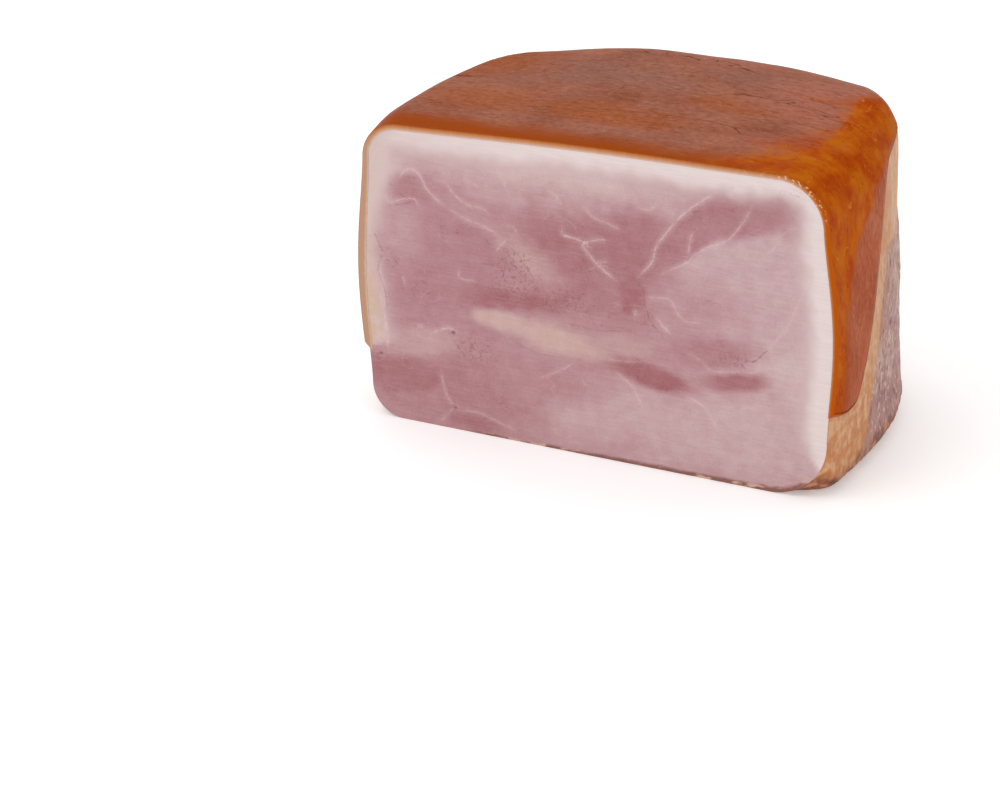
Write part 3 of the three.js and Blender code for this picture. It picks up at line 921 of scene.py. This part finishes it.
# Noises: stretch of the place, size of a cell, detail, roughness and distortion. Sizes are millimetres on
# the block and centimetres on the rind.
EVEN = (1, 1, 1)
CUT_NOISES = {
    "broad": (EVEN, 20, 3), "medium": (EVEN, 6, 3, 0.6), "fine": (EVEN, 1.1, 2, 0.6),
    "streak": ((0.07, 1, 1), 0.9, 3, 0.6), "rim": (EVEN, 6, 1), "wobble": (EVEN, 1.6, 2),
    "breaks": (EVEN, 2.6, 2), "some": (EVEN, 17, 1), "threads": ((0.7, 1, 1), 15, 2, 0.5, 0.3),
    "cracked": (EVEN, 11, 2), "cracks": ((0.45, 1, 1), 3.6, 3, 0.6, 0.4), "bend": (EVEN, 2.0, 2),
    "web_breaks": (EVEN, 2.2, 2), "speck": (EVEN, 0.8, 1), "bits": ((0.35, 1, 1), 3.0, 2),
}
OUTSIDE_NOISES = {
    "broad": (EVEN, 20, 3), "medium": (EVEN, 5, 3, 0.6), "fine": (EVEN, 1.2, 2, 0.6),
    "fibre": ((1, 1, 0.22), 1.6, 3, 0.6), "muscle": (EVEN, 34, 2, 0.5, 0.5), "grit": ((1, 1, 0.5), 1.8, 2),
    "dark_grit": ((1, 1, 0.3), 1.5, 3, 0.6), "seams": (EVEN, 36, 2, 0.4),
}
RIND_NOISES = {
    "broad": (EVEN, 3.0, 3, 0.55), "cloud": ((0.6, 1, 1), 1.2, 3, 0.6), "fine": ((0.5, 1, 1), 0.17, 3, 0.7),
    "streak": ((0.34, 1, 1), 0.26, 3, 0.7, 0.5), "amber": (EVEN, 1.3, 3, 0.6), "spot": (EVEN, 0.36, 2),
    "threads": (EVEN, 1.1, 2, 0.5, 0.8), "speck": (EVEN, 0.08, 1),
}
CRUMB_NOISE = (1.5, 3)
# How much each noise sways the darkness of the cut lean.
DARK_SWAYS = {"broad": 0.18, "medium": 0.28, "fine": 0.20, "streak": 0.22}
# Coats: where each sets in and where it is full, its strength and its tone.
FAR_LEFT_FAT = (-88, -104, 0.7, (204, 178, 168))
LEFT_FAT = (-20, -92, 0.3, (206, 184, 182))
TAN_TONE, TAN_HEIGHTS, TAN_SPOTS = (204, 168, 138), (92, 74), (0.40, 0.58, 0.8, 0.1)
HOLE_COAT = (0.2, 0.9, 0.5, (122, 70, 72))
SPECK_COAT = (0.68, 0.80, 0.22, (232, 206, 202))
# Seams drawn on the cut: field, width, strength, whether they break off, and tone.
SEAM_COATS = (
    ("pale", 2.4, 0.3, False, (212, 182, 182)),
    ("pale", 0.62, 0.52, True, (226, 198, 194)),
    ("crack", 0.6, 0.5, True, (124, 72, 74)),
)
SEAM_WANDER, SEAM_BREAKS, RIM_WANDER = 1.5, (0.36, 0.58, 1.0, 0.15), 4.0
THREAD_WIDTH, THREAD_TONE, CRACK_WIDTH, CRACK_TONE = 0.012, (220, 190, 188), 0.016, (126, 70, 70)
WEB = dict(cell=2.6, width=0.10, bend=3.0, strength=0.6)
UNDERSKIN = ((0.0, (130, 80, 64)), (1.0, (208, 172, 146)))
# Coats by noise: which noise, then as above.
LEAN_GRIT = (
    ("muscle", 0.50, 0.56, 0.55, (164, 114, 110)),
    ("muscle", 0.46, 0.38, 0.55, (204, 174, 160)),
    ("grit", 0.55, 0.66, 0.6, (218, 188, 170)),
)
RIND_GRIT = (
    ("streak", 0.48, 0.32, 0.32, (118, 62, 44)),
    ("streak", 0.54, 0.70, 0.18, (188, 130, 104)),
    ("fine", 0.48, 0.34, 0.42, (112, 58, 42)),
    ("fine", 0.54, 0.68, 0.28, (198, 138, 110)),
)
AMBER_GRIT = (("fine", 0.36, 0.66, 0.3, (186, 96, 18)), ("streak", 0.48, 0.30, 0.4, (150, 50, 4)))
DARK_GRIT_TONE, OUTSIDE_SEAM_TONE = (112, 72, 74), (220, 196, 180)
DARK_FAT = (0.2, 0.8, 0.3, (146, 90, 58))
BROWN_TONE, SMOKE_TONE = (192, 118, 62), (162, 104, 76)
FAT_WANDER, FOOT_WANDER, FOOT = 26.0, 16.0, (13.0, 6.0)
DARK_CLOUD = (0.46, 0.34, 0.40, (146, 76, 48))
# Painted sheen on the rind: a grey-mauve wash, where it sets in, is full and its strength, then its tone.
MAUVE_SHEEN, MAUVE_SHEEN_TONE, CLOUD_STRENGTH = (0.46, 0.66, 0.45), (164, 108, 92), 0.8
# Turns of the rind: its top's middle, where its sides begin, the stretches of its cut that are right, left
# or crumbly, and where the orange band widens to the left and frays down the left side.
TOP_TURN, SIDE_FROM = 4.5, (1.0, 1.5)
CUT_RIGHT, CUT_LEFT, CRUMBS = (4.1, 3.2), (5.35, 5.9), ((3.0, 3.3), (4.15, 3.9))
BAND_WIDENS, BAND_FRAYS = (4.5, 5.1, 5.0), (5.6, 6.2, 26.0)
# The band along the cut, amber with a painted glow of light through the rind: where it sets in and is full,
# strength and tone.
ORANGE_GLOW_BAND = (17.0, 1.0, 0.97, (157, 67, 3))
# The second of these is the tone of the painted glints on the orange corner.
SPOT_TONE, AMBER_GLINT_TONE, CREASE_TONE = (132, 34, 10), (216, 138, 58), (100, 46, 28)
# The last of these lightens the rind's lip behind the cut: partly its own tone, partly painted light against
# the shade beneath it.
CUT_AMBER, CRUMB_TONE, RIM_LIFT_TONE = (184, 84, 6), (234, 190, 150), (172, 100, 62)
# Eases of each material: where each sets in and is full, then its most and least where not 1 and 0.
CUT_EASES = SimpleNamespace(
    streaks=(0.3, 0.7), threads=(0.5, 0.62), off_fat=(0, -8, 0.13), cracked=(0.50, 0.62),
    darkest=(0.66, 0.82, 0.5), webs=(0.42, 0.60), thicker=(-60, 90, -0.9, 0.5), skin=(2.4, 0.7, 0.85),
    low=(12, 3), past_left=(-66, -50), bits=(0.50, 0.62),
)
OUTSIDE_EASES = SimpleNamespace(
    dark=(0.48, 0.36), dark_spots=(0.62, 0.44, 0.9, 0.15), seams=(0.40, 0.60, 0.4), brown=(70, 25),
    brown_spots=(0.62, 0.40, 0.8, 0.2), brown_clouds=(0.54, 0.70, 0.5), smoke=(34, 2, 0.7),
    smoke_clouds=(0.4, 0.6), lean=(-2, 5),
)
RIND_EASES = SimpleNamespace(
    creases=(0.47, 0.58), corner=(0.2, 0.95), spots=(0.32, 0.25, 0.75), threads=(0.48, 0.6, 0.55),
    glint_specks=(0.68, 0.78, 0.4), amber=(0.5, 1.1, 0.9), crumbs=(0.53, 0.62, 0.7), cut=(0.4, 0.0),
    rim=(0.98, 0.55), behind_cut=(0.6, 1.4),
)
# How far noises make these wander, and shares of the grain, of the dark grit and of the folds in the relief.
SKIN_WANDER, BAND_WANDER, CORNER_WANDER, CUT_WANDER, CUT_SHIFT = 3.0, 8.0, 1.2, 0.3, 0.5
FINE_SHARE, GRIT_RELIEF, FOLD_RELIEF, OUTSIDE_SEAM_WIDTH = 0.6, 0.4, 0.6, 0.016
# Finish: subsurface weight and scale, specular level, roughness from and to, depth and strength of bumps.
CUT_FINISH = ((0.12, 0.0014), 0.14, (0.44, 0.56), (0.00016, 0.5))
OUTSIDE_FINISH = ((0.06, 0.0010), 0.14, (0.42, 0.60), (0.0005, 0.8))
RIND_FINISH = ((0.0, 0.0010), 0.01, (0.36, 0.5), (0.00035, 0.6))
SUBSURFACE_RADIUS = (1.0, 0.42, 0.32)
ROUGH_NOISE = (0.3, 0.7)


def rgb(red, green, blue):
    """A colour as the photograph's file has it, 0 to 255, turned into light."""
    share = np.array([red, green, blue]) / 255
    light = np.where(share <= 0.04045, share / 12.92, ((share + 0.055) / 1.055) ** 2.4)
    return (*light.tolist(), 1.0)


class Paint:
    """A material's nodes, put together by short calls. Values may be numbers or sockets."""

    def __init__(self, name):
        self.material = bpy.data.materials.new(name)
        self.material.use_nodes = True
        self.tree = self.material.node_tree
        self.shader = self.tree.nodes["Principled BSDF"]

    def put(self, socket, value):
        if isinstance(value, bpy.types.NodeSocket):
            self.tree.links.new(value, socket)
        else:
            socket.default_value = value

    def node(self, kind, inputs=(), **settings):
        node = self.tree.nodes.new(kind)
        for key, value in settings.items():
            setattr(node, key, value)
        for key, value in dict(inputs).items():
            self.put(node.inputs[key], value)
        return node

    def field(self, name, output="Fac"):
        return self.node("ShaderNodeAttribute", attribute_name=name).outputs[output]

    def vectors(self, operation, a, b):
        return self.node("ShaderNodeVectorMath", {0: a, 1: b}, operation=operation).outputs["Vector"]

    def place(self):
        """The point in millimetres."""
        coordinates = self.node("ShaderNodeTexCoord").outputs["Object"]
        return self.vectors("MULTIPLY", coordinates, [1 / MM] * 3)

    def parts(self, vector):
        """The three numbers of a vector."""
        return tuple(self.node("ShaderNodeSeparateXYZ", {"Vector": vector}).outputs)

    def noise(self, vector, cell, detail=2.0, rough=0.5, distortion=0.0):
        """Noise from 0 to 1 with features about a cell wide, in the vector's own unit."""
        inputs = {"Vector": vector, "Scale": 1 / cell, "Detail": detail, "Roughness": rough}
        inputs["Distortion"] = distortion
        return self.node("ShaderNodeTexNoise", inputs).outputs["Fac"]

    def noises(self, table, vector):
        made = {name: self.noise(self.vectors("MULTIPLY", vector, stretch), *values)
                for name, (stretch, *values) in table.items()}
        return SimpleNamespace(**made)

    def math(self, operation, a, b=0.0, c=0.0):
        return self.node("ShaderNodeMath", {0: a, 1: b, 2: c}, operation=operation).outputs[0]

    def times(self, first, *others):
        for other in others:
            first = self.math("MULTIPLY", first, other)
        return first

    def sway(self, value, noise, amount):
        """value moved by up to half the amount to either side."""
        return self.math("MULTIPLY_ADD", self.math("SUBTRACT", noise, 0.5), amount, value)

    def average(self, a, b, share=0.5):
        return self.math("ADD", self.times(a, share), self.times(b, 1 - share))

    def ease(self, value, start, full, most=1.0, least=0.0):
        """The least up to the start, then smoothly to the most where it is full, which may lie lower."""
        inputs = {"Value": value, "From Min": start, "From Max": full, "To Min": least, "To Max": most}
        return self.node("ShaderNodeMapRange", inputs, interpolation_type="SMOOTHSTEP").outputs["Result"]

    def mix(self, share, a, b):
        node = self.node("ShaderNodeMix", data_type="RGBA")
        for socket, value in zip((node.inputs["Factor"], node.inputs[6], node.inputs[7]), (share, a, b)):
            self.put(socket, value)
        return node.outputs[2]

    def coat(self, colour, share, tone):
        return self.mix(share, colour, rgb(*tone))

    def wash(self, colour, source, start, full, strength, tone):
        return self.coat(colour, self.ease(source, start, full, strength), tone)

    def grit(self, colour, noises, table):
        for name, *wash in table:
            colour = self.wash(colour, getattr(noises, name), *wash)
        return colour

    def ramp(self, value, stops):
        node = self.node("ShaderNodeValToRGB", {"Fac": value})
        elements = node.color_ramp.elements
        while len(elements) < len(stops):
            elements.new(0.5)
        for element, (place, tone) in zip(elements, stops):
            element.position, element.color = place, rgb(*tone)
        return node.outputs["Color"]

    def line(self, signed, width):
        """A line of this half width where a signed distance passes through zero."""
        return self.ease(self.math("ABSOLUTE", signed), width, 0)

    def veins(self, noise, width, mask):
        """Lines where a noise passes through its middle, shown where the mask is."""
        return self.times(self.line(self.math("SUBTRACT", noise, 0.5), width), mask)

    def net(self, vector, cell, width):
        """The edges of cells of this size."""
        inputs = {"Vector": vector, "Scale": 1 / cell}
        node = self.node("ShaderNodeTexVoronoi", inputs, feature="DISTANCE_TO_EDGE")
        return self.ease(node.outputs["Distance"], width, 0)

    def creases(self, place, wander, spacing, width, mask):
        """Long lines across a place that goes up, about so far apart, shown where the mask is."""
        step = self.math("MULTIPLY_ADD", place, 1 / spacing, wander)
        return self.veins(self.math("FRACT", step), width / spacing, mask)

    def finish(self, colour, uneven, relief, subsurface, specular, rough, bump):
        inputs = self.shader.inputs
        inputs["Subsurface Weight"].default_value, inputs["Subsurface Scale"].default_value = subsurface
        inputs["Subsurface Radius"].default_value = SUBSURFACE_RADIUS
        inputs["Specular IOR Level"].default_value = specular
        self.put(inputs["Base Color"], colour)
        self.put(inputs["Roughness"], self.ease(uneven, *ROUGH_NOISE, rough[1], rough[0]))
        bumps = {"Height": relief, "Distance": bump[0], "Strength": bump[1]}
        self.put(inputs["Normal"], self.node("ShaderNodeBump", bumps).outputs["Normal"])
        return self.material


def cut_material():
    paint = Paint("cut_ham")
    place = paint.place()
    n = paint.noises(CUT_NOISES, place)
    across, rim_height = paint.field("across"), paint.field("rim_height")

    dark = paint.field("dark")
    for name, amount in DARK_SWAYS.items():
        dark = paint.sway(dark, getattr(n, name), amount)
    colour = paint.mix(paint.field("cream"), paint.ramp(dark, LEAN_TONES), paint.ramp(dark, CREAM_TONES))

    fat = paint.sway(paint.field("fat"), n.rim, RIM_WANDER)
    colour = paint.wash(colour, fat, *HAZE["reach"], HAZE["share"], HAZE["colour"])
    white = paint.mix(paint.ease(n.streak, *CUT_EASES.streaks), rgb(*FAT_TONE), rgb(*FAT_LIGHT))
    white = paint.wash(white, across, *FAR_LEFT_FAT)
    white = paint.wash(white, across, *LEFT_FAT)
    tan = paint.times(paint.ease(rim_height, *TAN_HEIGHTS), paint.ease(n.medium, *TAN_SPOTS))
    white = paint.coat(white, paint.times(tan, paint.ease(across, *FAR_LEFT_FAT[:3])), TAN_TONE)
    colour = paint.mix(paint.ease(fat, *FAT_RIM), colour, white)

    breaks = paint.ease(n.breaks, *SEAM_BREAKS)
    for name, width, strength, is_broken, tone in SEAM_COATS:
        line = paint.line(paint.sway(paint.field(name), n.wobble, SEAM_WANDER), width)
        line = paint.times(line, paint.field(name + "_power"), strength)
        colour = paint.coat(colour, paint.times(line, breaks) if is_broken else line, tone)
    colour = paint.wash(colour, paint.field("hole"), *HOLE_COAT)

    # Stray threads all over the lean, away from the drawn seams.
    some = paint.times(paint.ease(n.some, *CUT_EASES.threads), paint.ease(fat, *CUT_EASES.off_fat))
    colour = paint.coat(colour, paint.veins(n.threads, THREAD_WIDTH, some), THREAD_TONE)
    # Fine dark cracks where the lean is darkest, and webs of them.
    some = paint.times(paint.ease(n.cracked, *CUT_EASES.cracked), paint.ease(dark, *CUT_EASES.darkest))
    cracks = paint.veins(n.cracks, CRACK_WIDTH, some)
    bent = paint.vectors("ADD", place, paint.sway(0.0, n.bend, WEB["bend"]))
    web = paint.times(paint.net(bent, WEB["cell"], WEB["width"]), paint.ease(n.web_breaks, *CUT_EASES.webs))
    web = paint.times(web, paint.field("web"), WEB["strength"])
    colour = paint.coat(colour, paint.math("MAXIMUM", cracks, web), CRACK_TONE)
    colour = paint.wash(colour, n.speck, *SPECK_COAT)

    # The skin of the underside, cut through: a thin brown line with cream bits in it, thicker to the right.
    from_rim = paint.sway(paint.field("inside"), n.medium, SKIN_WANDER)
    from_rim = paint.math("ADD", from_rim, paint.ease(across, *CUT_EASES.thicker))
    skin = paint.times(paint.ease(from_rim, *CUT_EASES.skin), paint.ease(rim_height, *CUT_EASES.low))
    skin = paint.times(skin, paint.ease(across, *CUT_EASES.past_left))
    colour = paint.mix(skin, colour, paint.ramp(paint.ease(n.bits, *CUT_EASES.bits), UNDERSKIN))
    return paint.finish(colour, n.medium, paint.average(n.fine, n.streak, FINE_SHARE), *CUT_FINISH)


def outside_material():
    """The block's own surface where no rind covers it: a strip of fat, then mottled lean and a brown foot."""
    paint = Paint("ham_outside")
    n, eases = paint.noises(OUTSIDE_NOISES, paint.place()), OUTSIDE_EASES
    height = paint.field("height")

    lean = paint.grit(paint.ramp(paint.average(n.broad, n.medium), OUTSIDE_LEAN), n, LEAN_GRIT)
    dark = paint.times(paint.ease(n.dark_grit, *eases.dark), paint.ease(n.medium, *eases.dark_spots))
    lean = paint.coat(lean, dark, DARK_GRIT_TONE)
    seams = paint.veins(n.seams, OUTSIDE_SEAM_WIDTH, paint.ease(n.medium, *eases.seams))
    lean = paint.coat(lean, seams, OUTSIDE_SEAM_TONE)

    fat = paint.wash(paint.ramp(paint.average(n.fibre, n.medium), OUTSIDE_FAT), dark, *DARK_FAT)
    brown = paint.times(paint.ease(height, *eases.brown), paint.ease(n.medium, *eases.brown_spots))
    brown = paint.math("MAXIMUM", brown, paint.ease(n.broad, *eases.brown_clouds))
    fat = paint.coat(fat, brown, BROWN_TONE)

    edge = paint.sway(paint.field("past_fat"), n.medium, FAT_WANDER)
    smoke = paint.times(paint.ease(edge, *eases.smoke), paint.ease(n.broad, *eases.smoke_clouds))
    colour = paint.mix(paint.ease(edge, *eases.lean), fat, paint.coat(lean, smoke, SMOKE_TONE))
    foot = paint.ease(paint.sway(height, n.broad, FOOT_WANDER), *FOOT)
    colour = paint.mix(foot, colour, paint.ramp(n.medium, OUTSIDE_FOOT))
    grain = paint.math("SUBTRACT", paint.average(n.fine, n.fibre), paint.times(dark, GRIT_RELIEF))
    return paint.finish(colour, n.medium, grain, *OUTSIDE_FINISH)


def rind_material():
    paint = Paint("ham_rind")
    grain = paint.field("grain", "Vector")       # centimetres along the outline and from the cut
    turn, from_cut, skin = (paint.field(name) for name in ("turn", "from_cut", "skin"))
    n, eases = paint.noises(RIND_NOISES, grain), RIND_EASES

    is_side = paint.ease(paint.math("ABSOLUTE", paint.math("SUBTRACT", turn, TOP_TURN)), *SIDE_FROM)
    colour = paint.mix(is_side, paint.ramp(n.broad, RIND_TOP), paint.ramp(n.broad, RIND_SIDES))
    # Painted sheen: a grey-mauve wash over the rind, half as strong on the sides as on the top.
    mauve_sheen = paint.times(paint.ease(n.cloud, *MAUVE_SHEEN), paint.math("MULTIPLY_ADD", is_side, -0.5, 1.0))
    colour = paint.wash(paint.coat(colour, mauve_sheen, MAUVE_SHEEN_TONE), n.cloud, *DARK_CLOUD)
    # The first share is the painted grey sheen, the others the rind's warm and rosy mottling.
    for share, tone in zip(paint.parts(paint.field("clouds", "Vector")), CLOUD_TONES):
        colour = paint.coat(colour, paint.times(share, CLOUD_STRENGTH), tone)
    colour = paint.grit(colour, n, RIND_GRIT)

    # Long creases that run across the block, and short ones between them.
    up = paint.parts(grain)[1]
    folds = 0.0
    for stretch, wander, spacing, width, mask_cell, strength in CREASES:
        wave = paint.noise(paint.vectors("MULTIPLY", grain, stretch), 1.0, 3, 0.6)
        mask = paint.noise(paint.vectors("MULTIPLY", grain, CREASE_MASK_STRETCH), mask_cell)
        mask = paint.ease(mask, *eases.creases, strength)
        lines = paint.creases(up, paint.times(wave, wander), spacing, width, mask)
        folds = paint.math("MAXIMUM", folds, lines)
    folds = paint.times(folds, paint.math("SUBTRACT", 1.0, is_side))
    colour = paint.coat(colour, folds, CREASE_TONE)

    # Orange where the rind is clear: a band along the cut, and the upper right corner. It is the rind's amber
    # with a painted glow of light shining through it.
    wandered = paint.sway(from_cut, n.cloud, BAND_WANDER)
    wandered = paint.math("SUBTRACT", wandered, paint.ease(turn, *BAND_WIDENS))
    wandered = paint.sway(wandered, n.broad, paint.ease(turn, *BAND_FRAYS))
    colour = paint.wash(colour, wandered, *ORANGE_GLOW_BAND)
    corner = paint.ease(paint.sway(paint.field("corner"), n.cloud, CORNER_WANDER), *eases.corner)
    colour = paint.mix(corner, colour, paint.grit(paint.ramp(n.amber, RIND_AMBER_GLOW), n, AMBER_GRIT))
    colour = paint.coat(colour, paint.times(paint.ease(n.spot, *eases.spots), corner), SPOT_TONE)
    # Painted glints: bright threads and specks over the orange corner, standing in for fine highlights.
    threads = paint.veins(n.threads, THREAD_WIDTH, paint.ease(n.cloud, *eases.threads))
    threads = paint.math("MAXIMUM", threads, paint.ease(n.speck, *eases.glint_specks))
    colour = paint.coat(colour, paint.times(threads, corner), AMBER_GLINT_TONE)

    # Across the cut the skin pales toward the fat.
    is_right = paint.ease(turn, *CUT_RIGHT)
    across = paint.math("MULTIPLY_ADD", is_right, CUT_SHIFT, paint.sway(skin, n.fine, CUT_WANDER))
    is_left = paint.ease(turn, *CUT_LEFT)
    cut = paint.mix(is_left, paint.ramp(across, RIND_CUT), paint.ramp(across, RIND_CUT_LEFT))
    cut = paint.coat(cut, paint.times(is_right, paint.ease(across, *eases.amber)), CUT_AMBER)
    crumbs = paint.ease(paint.noise(paint.place(), *CRUMB_NOISE), *eases.crumbs)
    crumbs = paint.times(crumbs, *(paint.ease(turn, *span) for span in CRUMBS))
    cut = paint.coat(cut, crumbs, CRUMB_TONE)
    colour = paint.mix(paint.ease(from_cut, *eases.cut), colour, cut)
    # The rind's bare edges and inner side behind the cut take a warm tone, lighter than the sides: partly
    # their own colour, partly painted light that lifts the shade under the rind's lip.
    rim = paint.times(paint.ease(skin, *eases.rim), paint.ease(from_cut, *eases.behind_cut))
    colour = paint.coat(colour, rim, RIM_LIFT_TONE)
    relief = paint.math("SUBTRACT", paint.average(n.fine, n.streak), paint.times(folds, FOLD_RELIEF))
    return paint.finish(colour, n.cloud, relief, *RIND_FINISH)


def floor_material():
    """A plain pale floor that glows slightly, so that it comes out white."""
    paint = Paint("floor")
    for name, value in FLOOR_FINISH.items():
        paint.shader.inputs[name].default_value = value
    return paint.material


# ---------------------------------------------------------------- light and floor

WHITE = (1.0, 1.0, 1.0, 1.0)
FLOOR_FINISH = {
    "Base Color": (0.96, 0.96, 0.96, 1.0), "Roughness": 0.8, "Specular IOR Level": 0.1,
    "Emission Color": WHITE, "Emission Strength": 0.26,
}
FLOOR_HALF, SKY = 12.0, 0.775
# Soft lights: place and size in metres, and watts.
LIGHTS = {"key": ((-0.6, -0.9, 1.5), (1.0, 0.8), 4.8), "top": ((-0.3, 0.5, 1.5), (1.6, 0.8), 3.0)}
AIM = (0.0, 0.0, 0.07)


def add_light(name, place, size, watts):
    data = bpy.data.lights.new(name, "AREA")
    data.shape = "RECTANGLE"
    data.size, data.size_y = size
    data.energy = watts
    light = bpy.data.objects.new(name, data)
    bpy.context.scene.collection.objects.link(light)
    way = Vector(place) - Vector(AIM)
    light.matrix_world = Matrix.Translation(place) @ way.to_track_quat("Z", "Y").to_matrix().to_4x4()


def add_stage():
    world = bpy.data.worlds.new("world")
    bpy.context.scene.world = world
    world.use_nodes = True
    background = world.node_tree.nodes["Background"].inputs
    background["Color"].default_value, background["Strength"].default_value = WHITE, SKY
    mesh = bpy.data.meshes.new("floor")
    corners = [(x * FLOOR_HALF, y * FLOOR_HALF, 0) for x, y in ((-1, -1), (1, -1), (1, 1), (-1, 1))]
    mesh.from_pydata(corners, [], [(0, 1, 2, 3)])
    mesh.materials.append(floor_material())
    floor = bpy.data.objects.new("floor", mesh)
    bpy.context.scene.collection.objects.link(floor)
    for name, light in LIGHTS.items():
        add_light(name, *light)


# ---------------------------------------------------------------- the scene

def main():
    bpy.context.scene.view_settings.view_transform = "Standard"
    add_camera()
    add_stage()
    body, points, on_cut, rim = build_body([cut_material(), outside_material()])
    dress_body(body, points, on_cut, rim)
    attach(body, "root")
    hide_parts("lean", "fat_cap")
    rind, points, grain, turn, skin = build_rind(rind_material())
    dress_rind(rind, points, grain, turn, skin)
    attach(rind, "root")


main()
